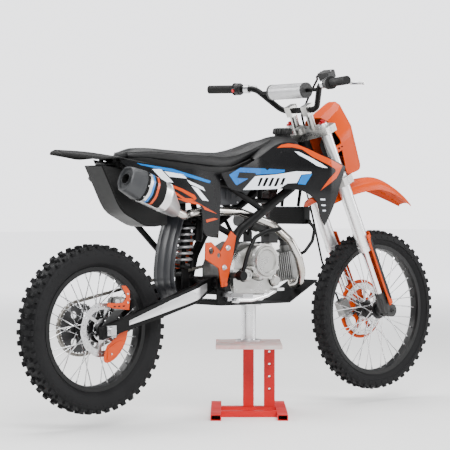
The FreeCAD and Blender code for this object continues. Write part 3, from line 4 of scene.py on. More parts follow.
import bmesh
import bpy
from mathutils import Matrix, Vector
from mathutils.bvhtree import BVHTree


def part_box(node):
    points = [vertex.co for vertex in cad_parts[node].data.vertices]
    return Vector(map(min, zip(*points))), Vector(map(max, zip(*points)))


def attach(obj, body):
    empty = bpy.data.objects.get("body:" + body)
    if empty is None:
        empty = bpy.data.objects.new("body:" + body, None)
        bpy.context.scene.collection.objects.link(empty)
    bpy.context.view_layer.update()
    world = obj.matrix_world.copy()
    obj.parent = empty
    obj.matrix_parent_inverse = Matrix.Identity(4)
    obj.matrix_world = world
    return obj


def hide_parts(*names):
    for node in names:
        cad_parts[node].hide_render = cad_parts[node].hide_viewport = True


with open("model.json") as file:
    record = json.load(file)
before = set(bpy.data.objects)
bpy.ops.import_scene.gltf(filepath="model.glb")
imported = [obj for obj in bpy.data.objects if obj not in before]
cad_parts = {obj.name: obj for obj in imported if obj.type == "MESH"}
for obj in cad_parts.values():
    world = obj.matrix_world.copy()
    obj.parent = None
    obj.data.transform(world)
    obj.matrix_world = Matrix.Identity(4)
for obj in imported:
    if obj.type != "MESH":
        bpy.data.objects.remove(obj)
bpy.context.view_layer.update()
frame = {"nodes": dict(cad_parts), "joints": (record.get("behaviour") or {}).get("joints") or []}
nodes = frame["nodes"]


# Studio
# A flat pale floor that glows with painted light, faint near the bike and strong far off, so that it fades
# into the pale wall far behind the bike; four soft lights, and a camera low behind its right side.

FLOOR_HALF = 40
SIGHT_END = 90
WALL_TINT = (0.97, 0.97, 1.0, 1)
LENS_MM, SENSOR_MM = 150.8, 36
CAMERA_PLACE = (-4.6715, -5.177, 0.771)
VIEW_TURN, VIEW_DROP = math.radians(41.5), math.radians(-0.6)


def add_object(name, data):
    """An object at the origin, linked into the scene."""
    made = bpy.data.objects.new(name, data)
    bpy.context.scene.collection.objects.link(made)
    return made


def new_mesh(name, points, faces):
    """A mesh object at the origin, from points in metres and faces of their numbers."""
    mesh = bpy.data.meshes.new(name)
    mesh.from_pydata([tuple(point) for point in points], [], faces)
    return add_object(name, mesh)


def studio_light(name, place, aim, size, power):
    """A soft rectangular lamp aimed at a point."""
    data = bpy.data.lights.new(name, "AREA")
    data.shape = "RECTANGLE"
    data.size, data.size_y = size
    data.energy = power
    lamp = add_object(name, data)
    lamp.location = place
    lamp.rotation_euler = (Vector(aim) - Vector(place)).to_track_quat("-Z", "Y").to_euler()


def feed(node, values):
    """Set a node's inputs, by name or number, each to a value or to another node's output."""
    for name, value in values.items():
        if isinstance(value, bpy.types.NodeSocket):
            node.id_data.links.new(value, node.inputs[name])
        else:
            node.inputs[name].default_value = value


def add_node(tree, kind, values=None, **settings):
    """A node with its settings made and its inputs set or fed."""
    node = tree.nodes.new(kind)
    for name, value in settings.items():
        setattr(node, name, value)
    feed(node, values or {})
    return node


floor_corners = [(x * FLOOR_HALF, y * FLOOR_HALF, 0) for x, y in ((-1, -1), (1, -1), (1, 1), (-1, 1))]
floor_piece = new_mesh("floor", floor_corners, [(0, 1, 2, 3)])
floor_finish = bpy.data.materials.new("floor_paint_and_glow")
floor_finish.use_nodes = True
floor_tree = floor_finish.node_tree
floor_place = add_node(floor_tree, "ShaderNodeTexCoord")
floor_reach = add_node(floor_tree, "ShaderNodeVectorMath", {0: floor_place.outputs["Object"]},
                       operation="LENGTH")
# Painted light: the floor glows more the farther it lies from the bike, to meet the wall.
painted_floor_glow = add_node(floor_tree, "ShaderNodeMapRange",
                      {"Value": floor_reach.outputs["Value"], "From Min": 1.8, "From Max": 11.0,
                       "To Min": 0.06, "To Max": 2.1}, interpolation_type="SMOOTHSTEP")
feed(floor_tree.nodes["Principled BSDF"],
     {"Base Color": (0.86, 0.86, 0.85, 1), "Roughness": 0.45, "Emission Color": WALL_TINT,
      "Emission Strength": painted_floor_glow.outputs["Result"]})
floor_piece.data.materials.append(floor_finish)

studio_light("key", (-2.6, -4.6, 4.2), (0, 0, 0.6), (3.6, 2.6), 640)
studio_light("overhead", (0.3, 0.4, 4.8), (0, 0, 0.5), (5.0, 3.0), 420)
studio_light("front_fill", (4.6, -3.0, 2.2), (0.2, 0, 0.6), (2.5, 2.5), 170)
studio_light("back_rim", (-1.5, 5.0, 2.8), (0, 0, 0.7), (4.0, 2.0), 230)

world = bpy.data.worlds.new("studio_air")
world.use_nodes = True
air = world.node_tree
soft_light = air.nodes["Background"]
feed(soft_light, {"Color": (0.90, 0.92, 0.95, 1), "Strength": 0.42})
pale_wall = add_node(air, "ShaderNodeBackground", {"Color": WALL_TINT, "Strength": 2.8})
seen = add_node(air, "ShaderNodeLightPath")
wall_or_light = add_node(air, "ShaderNodeMixShader",
                         {"Fac": seen.outputs["Is Camera Ray"], 1: soft_light.outputs["Background"],
                          2: pale_wall.outputs["Background"]})
feed(air.nodes["World Output"], {"Surface": wall_or_light.outputs["Shader"]})
bpy.context.scene.world = world

lens = bpy.data.cameras.new("camera")
lens.sensor_width = SENSOR_MM
lens.lens = LENS_MM
lens.clip_end = SIGHT_END
camera = add_object("camera", lens)
camera.location = CAMERA_PLACE
view_way = Vector((math.sin(VIEW_TURN) * math.cos(VIEW_DROP), math.cos(VIEW_TURN) * math.cos(VIEW_DROP),
                   math.sin(VIEW_DROP)))
camera.rotation_euler = view_way.to_track_quat("-Z", "Y").to_euler()
bpy.context.scene.camera = camera


# Paddock stand
# Square steel tube welded to two channel feet, sprayed red and chipped by use, with a worn painted board
# on top and a flanged bright pipe between the board and the bike's skid plate.

def new_group(name, kind, inputs, outputs):
    """A node group with named sockets, what comes out of its input node, and its output node."""
    tree = bpy.data.node_groups.new(name, kind)
    for way, sockets in (("INPUT", inputs), ("OUTPUT", outputs)):
        for socket, sort in sockets.items():
            tree.interface.new_socket(socket, in_out=way, socket_type="NodeSocket" + sort)
    return tree, tree.nodes.new("NodeGroupInput").outputs, tree.nodes.new("NodeGroupOutput")


def build_screw_group():
    """Screws stood on a piece: one head, set out, aimed and sized by the points that it is given."""
    tree, given, result = new_group(
        "screws_on", "GeometryNodeTree",
        {"Geometry": "Geometry", "Places": "Object", "Head": "Object", "Finish": "Material"},
        {"Geometry": "Geometry"})
    places = add_node(tree, "GeometryNodeObjectInfo", {"Object": given["Places"]})
    screw = add_node(tree, "GeometryNodeObjectInfo", {"Object": given["Head"]})
    aim = add_node(tree, "GeometryNodeInputNamedAttribute", {"Name": "aim"}, data_type="FLOAT_VECTOR")
    size = add_node(tree, "GeometryNodeInputNamedAttribute", {"Name": "size"}, data_type="FLOAT")
    stand = add_node(tree, "FunctionNodeAlignRotationToVector", {"Vector": aim.outputs["Attribute"]})
    copies = add_node(tree, "GeometryNodeInstanceOnPoints",
                      {"Points": places.outputs["Geometry"], "Instance": screw.outputs["Geometry"],
                       "Rotation": stand.outputs["Rotation"], "Scale": size.outputs["Attribute"]})
    real = add_node(tree, "GeometryNodeRealizeInstances", {"Geometry": copies.outputs["Instances"]})
    coat = add_node(tree, "GeometryNodeSetMaterial",
                    {"Geometry": real.outputs["Geometry"], "Material": given["Finish"]})
    joined = add_node(tree, "GeometryNodeJoinGeometry", {"Geometry": coat.outputs["Geometry"]})
    feed(joined, {"Geometry": given["Geometry"]})
    feed(result, {"Geometry": joined.outputs["Geometry"]})
    return tree


screws_on = build_screw_group()


def turns(steps, closed=False):
    """Angles spaced evenly once round, with the first again at the end if closed."""
    return [2 * math.pi * (step % steps) / steps for step in range(steps + closed)]


def screw_head():
    """A hexagon head on its washer, one unit in radius, standing up from the origin."""
    points, faces = [], []
    for sides, radius, low, high in ((14, 0.85, -0.3, 0.12), (6, 0.58, 0.0, 0.75)):
        start = len(points)
        for level in (low, high):
            points += [(radius * math.cos(a), radius * math.sin(a), level) for a in turns(sides)]
        for i in range(sides):
            j = (i + 1) % sides
            faces.append((start + i, start + j, start + sides + j, start + sides + i))
        faces += [list(range(start, start + sides))[::-1], list(range(start + sides, start + 2 * sides))]
    return new_mesh("screw_head", points, faces)


def settled(piece):
    """Turn what a piece's modifiers make into its plain mesh."""
    bpy.context.view_layer.update()
    ready = piece.evaluated_get(bpy.context.evaluated_depsgraph_get())
    piece.data = bpy.data.meshes.new_from_object(ready)
    piece.modifiers.clear()


def grown(piece, tree, values):
    """Run a geometry group on a piece, with inputs given by name, and keep the plain mesh."""
    maker = piece.modifiers.new(tree.name, "NODES")
    maker.node_group = tree
    for item in tree.interface.items_tree:
        if item.name in values:
            maker[item.identifier] = values[item.name]
    settled(piece)


def screwed(piece, screws, material):
    """Stand screws on a piece, each given by its place, the way that it faces and its size."""
    head_piece = screw_head()
    places = new_mesh("screw_places", [place for place, aim, size in screws], [])
    aims = places.data.attributes.new("aim", "FLOAT_VECTOR", "POINT")
    aims.data.foreach_set("vector", [value for place, aim, size in screws for value in aim])
    sizes = places.data.attributes.new("size", "FLOAT", "POINT")
    sizes.data.foreach_set("value", [size for place, aim, size in screws])
    grown(piece, screws_on, {"Places": places, "Head": head_piece, "Finish": material})
    for helper in (places, head_piece):
        bpy.data.objects.remove(helper)


class Shape:
    """Points and faces gathered into one mesh, each face with the number of its finish."""

    def __init__(self):
        self.points, self.faces, self.finishes, self.screws = [], [], [], []

    def add(self, points, faces, finish=0):
        start = len(self.points)
        self.points += [tuple(point) for point in points]
        self.faces += [[start + corner for corner in face] for face in faces]
        self.finishes += [finish] * len(faces)

    def net(self, rows, finish=0, round_way=True):
        """A skin over rows of points, each row closed on itself unless round_way is false."""
        wide = len(rows[0])
        faces = []
        for r in range(len(rows) - 1):
            for c in range(wide if round_way else wide - 1):
                d = (c + 1) % wide
                faces.append((r * wide + c, r * wide + d, (r + 1) * wide + d, (r + 1) * wide + c))
        self.add([point for row in rows for point in row], faces, finish)

    def loft(self, rows, finish=0):
        """A solid through closed rows of points, with a flat face on its first and last row."""
        self.net(rows, finish)
        end, wide = len(self.points), len(rows[0])
        start = end - wide * len(rows)
        self.faces += [list(range(start, start + wide))[::-1], list(range(end - wide, end))]
        self.finishes += [finish, finish]

    def wall(self, outer, inner, finish=0):
        """A moulded wall between rows of points on its outer face and on its inner face."""
        rows = [near + far[::-1] for near, far in zip(outer, inner)]
        self.net(rows, finish)
        wide = len(rows[0])
        last = len(self.points) - wide
        for start, way in ((last - wide * (len(rows) - 1), 1), (last, -1)):
            for step in range(wide // 2 - 1):
                quad = [start + step, start + step + 1, start + wide - 2 - step, start + wide - 1 - step]
                self.faces.append(quad[::way])
                self.finishes.append(finish)

    def block(self, centre, along, across, up, finish=0, taper=1.0):
        """A box given by its centre and three half-length vectors, its top narrowed by taper."""
        corners = []
        for level, size in ((-1, 1.0), (1, taper)):
            for a, b in ((-1, -1), (1, -1), (1, 1), (-1, 1)):
                corners.append(centre + along * (a * size) + across * (b * size) + up * level)
        faces = [(3, 2, 1, 0), (4, 5, 6, 7), (0, 1, 5, 4), (1, 2, 6, 5), (2, 3, 7, 6), (3, 0, 4, 7)]
        self.add(corners, faces, finish)

    def rod(self, start, end, radius, sides=12, finish=0, end_radius=None):
        """A round bar with flat ends, straight or tapered."""
        run = (end - start).normalized()
        across = run.orthogonal().normalized()
        up = run.cross(across)
        self.loft([[place + (across * math.cos(a) + up * math.sin(a)) * size for a in turns(sides)]
                   for place, size in ((start, radius), (end, end_radius or radius))], finish)

    def prism(self, outline, thick, finish=0):
        """A flat plate: an outline of points and the vector of its thickness."""
        count = len(outline)
        back = [point + thick for point in outline]
        faces = [list(range(count)), list(range(count, 2 * count))[::-1]]
        faces += [(i, (i + 1) % count, count + (i + 1) % count, count + i) for i in range(count)]
        self.add(list(outline) + back, faces, finish)

    def tube(self, points, radius, sides=10, finish=0, end_radius=None):
        """A round bar along a line of points, tapered evenly to its end."""
        end_radius = end_radius or radius
        rows = []
        side_way = None
        for index, point in enumerate(points):
            ahead = points[min(index + 1, len(points) - 1)] - points[max(index - 1, 0)]
            ahead.normalize()
            side_way = ahead.orthogonal() if side_way is None else side_way - ahead * side_way.dot(ahead)
            side_way.normalize()
            up = ahead.cross(side_way)
            size = radius + (end_radius - radius) * index / (len(points) - 1)
            rows.append([point + (side_way * math.cos(a) + up * math.sin(a)) * size for a in turns(sides)])
        self.loft(rows, finish)

    def bolt(self, place, direction, size, finish=0):
        """A screw standing on a surface, of the size of its washer; all of one piece's have one finish."""
        self.screws.append((place, Vector(direction).normalized(), size))
        self.screw_finish = finish

    def make(self, name, body, materials, replaces=(), smooth=35, bevel=0.0):
        """The finished piece, on its body, standing for the nodes it replaces."""
        piece = new_mesh(name, self.points, self.faces)
        mesh = piece.data
        for material in materials:
            mesh.materials.append(material)
        mesh.polygons.foreach_set("material_index", self.finishes)
        work = bmesh.new()
        work.from_mesh(mesh)
        bmesh.ops.remove_doubles(work, verts=work.verts, dist=0.00001)
        bmesh.ops.recalc_face_normals(work, faces=work.faces)
        work.to_mesh(mesh)
        work.free()
        if smooth:
            mesh.shade_smooth()
            mesh.set_sharp_from_angle(angle=math.radians(smooth))
        if bevel:
            rounding = piece.modifiers.new("edges", "BEVEL")
            rounding.width = bevel
            rounding.segments = 2
            rounding.limit_method = "ANGLE"
            rounding.angle_limit = math.radians(40)
        if self.screws:
            screwed(piece, self.screws, materials[self.screw_finish])
        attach(piece, body)
        if replaces:
            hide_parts(*replaces)
        return piece


def smooth_line(points, steps):
    """More points on a smooth curve through the given ones, the ends kept."""
    line = []
    last = len(points) - 1
    for index in range(last):
        a, b = points[max(index - 1, 0)], points[index]
        c, d = points[index + 1], points[min(index + 2, last)]
        for step in range(steps):
            t = step / steps
            line.append(tuple(0.5 * (2 * q + (r - p) * t + (2 * p - 5 * q + 4 * r - s) * t * t
                                     + (3 * q - p - 3 * r + s) * t ** 3) for p, q, r, s in zip(a, b, c, d)))
    line.append(tuple(points[last]))
    return line


def worked_out(tree, kind, a, b, clamp=False):
    """The outcome of one sum on two values or outputs."""
    return add_node(tree, "ShaderNodeMath", {0: a, 1: b}, operation=kind, use_clamp=clamp).outputs[0]


def build_surface_group():
    """Mottled colour and roughness with a fine relief, for paint, plastic, metal and rubber."""
    tree, given, result = new_group(
        "worked_surface", "ShaderNodeTree",
        {"Colour": "Color", "Second Colour": "Color", "Patch Scale": "Float", "Patch Amount": "Float",
         "Roughness": "Float", "Roughness Spread": "Float", "Grain Scale": "Float", "Stretch": "Float"},
        {"Colour": "Color", "Roughness": "Float", "Height": "Float"})
    place = add_node(tree, "ShaderNodeTexCoord").outputs["Object"]
    patches = add_node(tree, "ShaderNodeTexNoise", {"Vector": place, "Scale": given["Patch Scale"],
                                                    "Detail": 5})
    contrast = add_node(tree, "ShaderNodeMapRange", {"Value": patches.outputs["Fac"], "From Min": 0.35,
                                                     "From Max": 0.68}).outputs["Result"]
    amount = worked_out(tree, "MULTIPLY", contrast, given["Patch Amount"])
    blend = add_node(tree, "ShaderNodeMix",
                     {"Factor": amount, "A": given["Colour"], "B": given["Second Colour"]}, data_type="RGBA")
    swing = worked_out(tree, "MULTIPLY", contrast, given["Roughness Spread"])
    stretch = add_node(tree, "ShaderNodeCombineXYZ", {"X": given["Stretch"], "Y": 1, "Z": 1})
    pulled = add_node(tree, "ShaderNodeVectorMath", {0: place, 1: stretch.outputs["Vector"]},
                      operation="MULTIPLY")
    grain = add_node(tree, "ShaderNodeTexNoise",
                     {"Vector": pulled.outputs["Vector"], "Scale": given["Grain Scale"], "Detail": 3})
    feed(result, {"Colour": blend.outputs["Result"],
                  "Roughness": worked_out(tree, "ADD", swing, given["Roughness"]),
                  "Height": grain.outputs["Fac"]})
    return tree


def build_wear_group():
    """Where the finish has worn off in scattered chips, from noise, as a mask from 0 to 1."""
    tree, given, result = new_group("edge_wear", "ShaderNodeTree", {"Spread": "Float", "Scale": "Float"},
                                    {"Mask": "Float"})
    place = add_node(tree, "ShaderNodeTexCoord").outputs["Object"]
    chips = add_node(tree, "ShaderNodeTexNoise",
                     {"Vector": place, "Scale": given["Scale"], "Detail": 6, "Roughness": 0.7})
    least = worked_out(tree, "SUBTRACT", 0.78, given["Spread"])
    above = worked_out(tree, "SUBTRACT", chips.outputs["Fac"], least)
    feed(result, {"Mask": worked_out(tree, "MULTIPLY", above, 18.0, clamp=True)})
    return tree


worked_surface = build_surface_group()
edge_wear = build_wear_group()


def finish(name, colour, second, patch, rough, grain, metal=0.0, coat=0.0, wear=None, stretch=1.0, gloss=0.5):
    """A material: mottled colour, uneven roughness, fine relief, and chips through to bare metal if worn."""
    material = bpy.data.materials.new(name)
    material.use_nodes = True
    tree = material.node_tree
    surface = add_node(tree, "ShaderNodeGroup",
                       {"Colour": (*colour, 1), "Second Colour": (*second, 1), "Patch Scale": patch[0],
                        "Patch Amount": patch[1], "Roughness": rough[0], "Roughness Spread": rough[1],
                        "Grain Scale": grain[0], "Stretch": stretch}, node_tree=worked_surface)
    paint = surface.outputs["Colour"]
    if wear:
        bare_metal, spread, scale = wear
        chips = add_node(tree, "ShaderNodeGroup", {"Spread": spread, "Scale": scale}, node_tree=edge_wear)
        paint = add_node(tree, "ShaderNodeMix",
                         {"Factor": chips.outputs["Mask"], "A": paint, "B": (*bare_metal, 1)},
                         data_type="RGBA").outputs["Result"]
    bump = add_node(tree, "ShaderNodeBump",
                    {"Height": surface.outputs["Height"], "Strength": grain[1], "Distance": 0.001})
    feed(tree.nodes["Principled BSDF"],
         {"Base Color": paint, "Roughness": surface.outputs["Roughness"], "Normal": bump.outputs["Normal"],
          "Metallic": metal, "Specular IOR Level": gloss, "Coat Weight": coat, "Coat Roughness": 0.12})
    return material


def dress(material, *names):
    """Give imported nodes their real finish."""
    for name in names:
        mesh = nodes[name].data
        mesh.materials.clear()
        mesh.materials.append(material)


stand_red = finish("stand_red", (0.50, 0.004, 0.006), (0.40, 0.003, 0.005), (9, 0.6), (0.32, 0.2),
                   (160, 0.08), wear=((0.35, 0.33, 0.32), 0.05, 34), gloss=0.3)
board_worn = finish("board_worn", (0.47, 0.44, 0.42), (0.50, 0.16, 0.15), (22, 0.75), (0.5, 0.3), (120, 0.25),
                    wear=((0.62, 0.60, 0.58), 0.16, 26))
bright_pipe = finish("bright_pipe", (0.80, 0.80, 0.81), (0.62, 0.62, 0.62), (14, 0.5), (0.22, 0.2),
                     (300, 0.08), metal=1.0)
dress(stand_red, "stand_frame")
dress(board_worn, "stand_board")
dress(bright_pipe, "stand_spacer")


# Frame, skid plate and pegs
# Welded round steel tube, powder coated black, with laser cut orange plates bolted over the swingarm pivot
# and pegs and levers of bare steel.

steering_joint = next(joint for joint in frame["joints"] if joint["name"] == "steering_turn")
HEAD = Vector(steering_joint["pos_m"])
STEER_UP = Vector(steering_joint["axis"])
STEER_AHEAD = Vector((STEER_UP.z, 0, -STEER_UP.x))
PIVOT = Vector((-0.1935, 0, 0.488))


def head(x, y, z):
    """A point given in millimetres from the top of the steering axis, in level axes."""
    return HEAD + Vector((x, y, z)) / 1000


def pivot(x, y, z):
    """A point given in millimetres from the swingarm pivot, in level axes."""
    return PIVOT + Vector((x, y, z)) / 1000


def steer_way(x, y, z):
    """A direction in steering axes: x ahead of the stem, z up along it, in millimetres."""
    return (STEER_AHEAD * x + Vector((0, y, 0)) + STEER_UP * z) / 1000


def steer(x, y, z):
    """A point on the steering assembly, in millimetres from the top of its axis."""
    return HEAD + steer_way(x, y, z)


def unsteer(point):
    """The steering coordinates, in millimetres, of a point."""
    from_top = (point - HEAD) * 1000
    return Vector((from_top.dot(STEER_AHEAD), from_top.y, from_top.dot(STEER_UP)))


frame_black = finish("frame_black", (0.0015, 0.0015, 0.0016), (0.004, 0.004, 0.004), (12, 0.4), (0.36, 0.15),
                     (700, 0.06), gloss=0.14)
guard_orange = finish("guard_orange", (0.44, 0.041, 0.0001), (0.38, 0.033, 0.0001), (9, 0.5), (0.34, 0.12),
                      (500, 0.04), gloss=0.3)
bolt_steel = finish("bolt_steel", (0.55, 0.55, 0.56), (0.40, 0.40, 0.41), (60, 0.5), (0.25, 0.2), (500, 0.05),
                    metal=1.0)
dress(frame_black, "frame", "skid_plate", "side_stand", "swingarm")
dress(guard_orange, "frame_plates")
dress(bright_pipe, "foot_levers")
dress(bolt_steel, "footpegs", "rear_axle")


# Swingarm
# Welded box legs painted black, each with a brushed alloy plate riveted along its outer face.

arm_alloy = finish("arm_alloy", (0.70, 0.70, 0.71), (0.54, 0.54, 0.55), (6, 0.5), (0.26, 0.15), (700, 0.12),
                   metal=0.9, stretch=0.06)
ARM_FACE = [(-40, 62, 15), (-78, 80, 19), (-120, 100, 21), (-225, 102.5, 18), (-330, 105, 13.5),
            (-390, 105.5, 10), (-432, 106, 7.5)]
ARM_DROP = 145 / 511


def arm_plates():
    """The plates on the legs' outer faces, rolled along their edges, with four rivets each."""
    shape = Shape()
    for side in (-1, 1):
        rows = []
        for x, y, tall in smooth_line(ARM_FACE, 3):
            z = x * ARM_DROP
            levels = [(0.1, -tall), (1.5, -tall + 1), (2.2, -tall + 5), (2.4, 0), (2.2, tall - 5),
                      (1.5, tall - 1), (0.1, tall)]
            rows.append([pivot(x, side * (y + out), z + up) for out, up in levels])
        shape.net(rows, 0, round_way=False)
        for row, way in ((rows[0], 1), (rows[-1], -1)):
            shape.add(row, [list(range(len(row)))[::way]], 0)
        for x, y in ((-130, 100.3), (-290, 104)):
            for up in (-8, 8):
                shape.bolt(pivot(x, side * (y + 2.3), x * ARM_DROP + up), (0, side, 0), 0.0034, 1)
    shape.make("arm_plates", "root", [arm_alloy, bolt_steel], smooth=40)


arm_plates()


# Shock absorber
# Black painted damper inside a coil spring of thick wire with dull grey lacquer, pinned at both ends
# between the frame and the swingarm.

spring_grey = finish("spring_grey", (0.20, 0.20, 0.205), (0.30, 0.30, 0.31), (20, 0.5), (0.30, 0.2),
                     (300, 0.05), metal=0.6, coat=0.3)
dress(frame_black, "shock")
dress(spring_grey, "shock_spring")


# Engine
# Cast aluminium cases and finned barrel, machined covers with turned rings and black rings of painted
# shadow behind them, and a dark carburettor, held together and in the frame by bright screws.

cast_alloy = finish("cast_alloy", (0.24, 0.24, 0.235), (0.09, 0.09, 0.085), (30, 0.5), (0.34, 0.2),
                    (500, 0.3), metal=0.9)
machined = finish("machined", (0.46, 0.455, 0.44), (0.34, 0.335, 0.32), (18, 0.5), (0.22, 0.2), (900, 0.08),
                  metal=1.0)
dark_casting = finish("dark_casting", (0.014, 0.014, 0.014), (0.030, 0.030, 0.030), (30, 0.5), (0.45, 0.2),
                      (500, 0.2), metal=0.3)
# Black for the mask's screws, and painted shadow in the rings round the engine covers.
shade_ring_and_screw_black = finish("shade_ring_and_screw_black", (0.004, 0.004, 0.004), (0.008, 0.008, 0.008), (30, 0.5), (0.6, 0.1),
                     (500, 0.1), gloss=0.1)
dress(cast_alloy, "crankcase", "cylinder")
dress(machined, "engine_covers")
dress(dark_casting, "intake")
dress(frame_black, "kick_lever", "oil_cooler")

CLUTCH, CLUTCH_FACE = (180, 79), 140
STATOR, STATOR_FACE = (200, 46), 114
RIGHT_CASE, LEFT_CASE = 100.2, 84.3
RIGHT_RIM = [(68, -24), (140, -27), (216, -31), (250, -6), (260, 88), (222, 126), (146, 131), (84, 102),
             (60, 44)]
LEFT_RIM = [(126, -22), (180, -25), (232, -26), (263, 4), (267, 88), (222, 120), (156, 116)]


def about(centre, radius, turn, y):
    """A point round a cross-wise axle, in millimetres from its middle."""
    return centre + Vector((radius * math.cos(turn), y, radius * math.sin(turn))) / 1000


def turned(shape, profile, centre, steps, finish=0):
    """A closed profile of (radius, y) points in millimetres, turned about a cross-wise axle."""
    shape.net([[about(centre, radius, turn, y) for radius, y in profile] for turn in turns(steps, True)],
              finish)


def engine_rings():
    """The raised rings turned on the clutch and stator covers, and black rings of painted shadow round the
    round covers.
    """
    shape = Shape()
    for (x, z), face, way, rings in ((CLUTCH, CLUTCH_FACE, -1, ((40, 36), (58, 55.5))),
                                     (STATOR, STATOR_FACE, 1, ((34, 31), (20, 10)))):
        low, high = way * (face + 0.05), way * (face + 1.0)
        for outer, inner in rings:
            turned(shape, [(outer, low), (outer - 0.6, high), (inner + 0.6, high), (inner, low)],
                   pivot(x, 0, z), 60)
    # Black rings of painted shadow where the round covers meet the case.
    low, high = -RIGHT_CASE, -RIGHT_CASE - 2.2
    for x, z, inner, outer in ((*CLUTCH, 66.1, 72), (103, 31, 23.1, 26.5), (252, 8, 21.1, 24.5)):
        turned(shape, [(inner, low), (outer, low), (outer - 1, high), (inner, high)], pivot(x, 0, z), 60, 1)
    shape.make("engine_rings", "root", [machined, shade_ring_and_screw_black], smooth=30)


def engine_bolts():
    """Cap screws round the clutch boss, along both covers and on the stator cover, and the mounting bolts."""
    shape = Shape()
    for index in range(8):
        shape.bolt(about(pivot(CLUTCH[0], 0, CLUTCH[1]), 63, math.radians(22.5 + 45 * index), -136),
                   (0, -1, 0), 0.0046)
    for x, z in RIGHT_RIM:
        shape.bolt(pivot(x, -RIGHT_CASE - 0.1, z), (0, -1, 0), 0.0046)
    for x, z in LEFT_RIM:
        shape.bolt(pivot(x, LEFT_CASE, z), (0, 1, 0), 0.0046)
    for index in range(6):
        shape.bolt(about(pivot(STATOR[0], 0, STATOR[1]), 47, math.radians(60 * index), STATOR_FACE),
                   (0, 1, 0), 0.0044)
    for x, z in ((12, 130), (-6, 60)):
        for side in (-1, 1):
            shape.bolt(pivot(x, side * 117.3, z), (0, side, 0), 0.0115)
    shape.make("engine_bolts", "root", [bolt_steel], smooth=30)


engine_bolts()
engine_rings()


# Exhaust
# Bright bent steel pipe, and a brushed can of folded sheet with a strap round its rear and a dark cap
# riveted over its end.

header_steel = finish("header_steel", (0.50, 0.49, 0.48), (0.36, 0.30, 0.22), (12, 0.6), (0.16, 0.2),
                      (400, 0.05), metal=1.0)
brushed_can = finish("brushed_can", (0.66, 0.66, 0.66), (0.50, 0.50, 0.50), (5, 0.5), (0.3, 0.15),
                     (900, 0.15), metal=1.0, stretch=0.05)
cap_grey = finish("cap_grey", (0.030, 0.031, 0.033), (0.055, 0.057, 0.06), (18, 0.5), (0.4, 0.2), (500, 0.1),
                  metal=0.5)
# Plain black for the can's strap and label, and painted shade behind the vents and down the outlet.
black_and_painted_shade = finish("black_and_painted_shade", (0.001, 0.001, 0.001), (0.003, 0.003, 0.003), (8, 0.5), (0.6, 0.1),
                    (700, 0.1), gloss=0.15)
sticker_white = finish("sticker_white", (0.74, 0.77, 0.82), (0.60, 0.66, 0.76), (16, 0.4), (0.18, 0.1),
                       (400, 0.01), coat=0.2)
sticker_blue = finish("sticker_blue", (0.001, 0.13, 0.40), (0.0005, 0.07, 0.28), (11, 0.7), (0.18, 0.1),
                      (400, 0.01), gloss=0.35)
sticker_orange = finish("sticker_orange", (0.46, 0.045, 0.0001), (0.40, 0.038, 0.0001), (9, 0.5), (0.18, 0.1),
                        (400, 0.01), gloss=0.35)
STICKERS = [sticker_white, sticker_blue, sticker_orange, black_and_painted_shade]
WHITE, BLUE, ORANGE, BLACK = range(4)
CAN_STATIONS = [(-714, -128, -311, 20, 20), (-786, -146, -260, 42, 50), (-905, -154, -218, 44, 52),
                (-966, -156, -195, 37, 44)]
CAN_RUN = (head(*CAN_STATIONS[3][:3]) - head(*CAN_STATIONS[1][:3])).normalized()
CAN_UP = CAN_RUN.cross(Vector((0, 1, 0))).normalized()
CAN_ACROSS = CAN_UP.cross(CAN_RUN).normalized()
CAN_SIDES = 16


def can_ring(station, share=0.0, grow=0.0, back=0.0, rounding=0.16):
    """One eight-sided ring of the can, part of the way to the next station, with eased corners."""
    here, there = CAN_STATIONS[station], CAN_STATIONS[min(station + 1, 3)]
    x, y, z, wide, tall = [a + (b - a) * share for a, b in zip(here, there)]
    centre = head(x, y, z) - CAN_RUN * (back / 1000)
    corners = [(1, 0.45), (0.55, 1), (-0.55, 1), (-1, 0.45), (-1, -0.45), (-0.55, -1), (0.55, -1), (1, -0.45)]
    points = []
    for index, (a, b) in enumerate(corners):
        for p, q in (corners[index - 1], corners[(index + 1) % 8]):
            across = (wide + grow) * (a + (p - a) * rounding)
            up = (tall + grow) * (b + (q - b) * rounding)
            points.append(centre + CAN_ACROSS * (across / 1000) + CAN_UP * (up / 1000))
    return points


def round_ring(centre, radius):
    """A circle square to the can's run, its points opposite those of a can ring."""
    points = []
    for template in can_ring(2):
        out = template - head(*CAN_STATIONS[2][:3])
        angle = math.atan2(out.dot(CAN_UP), out.dot(CAN_ACROSS))
        points.append(centre + (CAN_ACROSS * math.cos(angle) + CAN_UP * math.sin(angle)) * (radius / 1000))
    return points


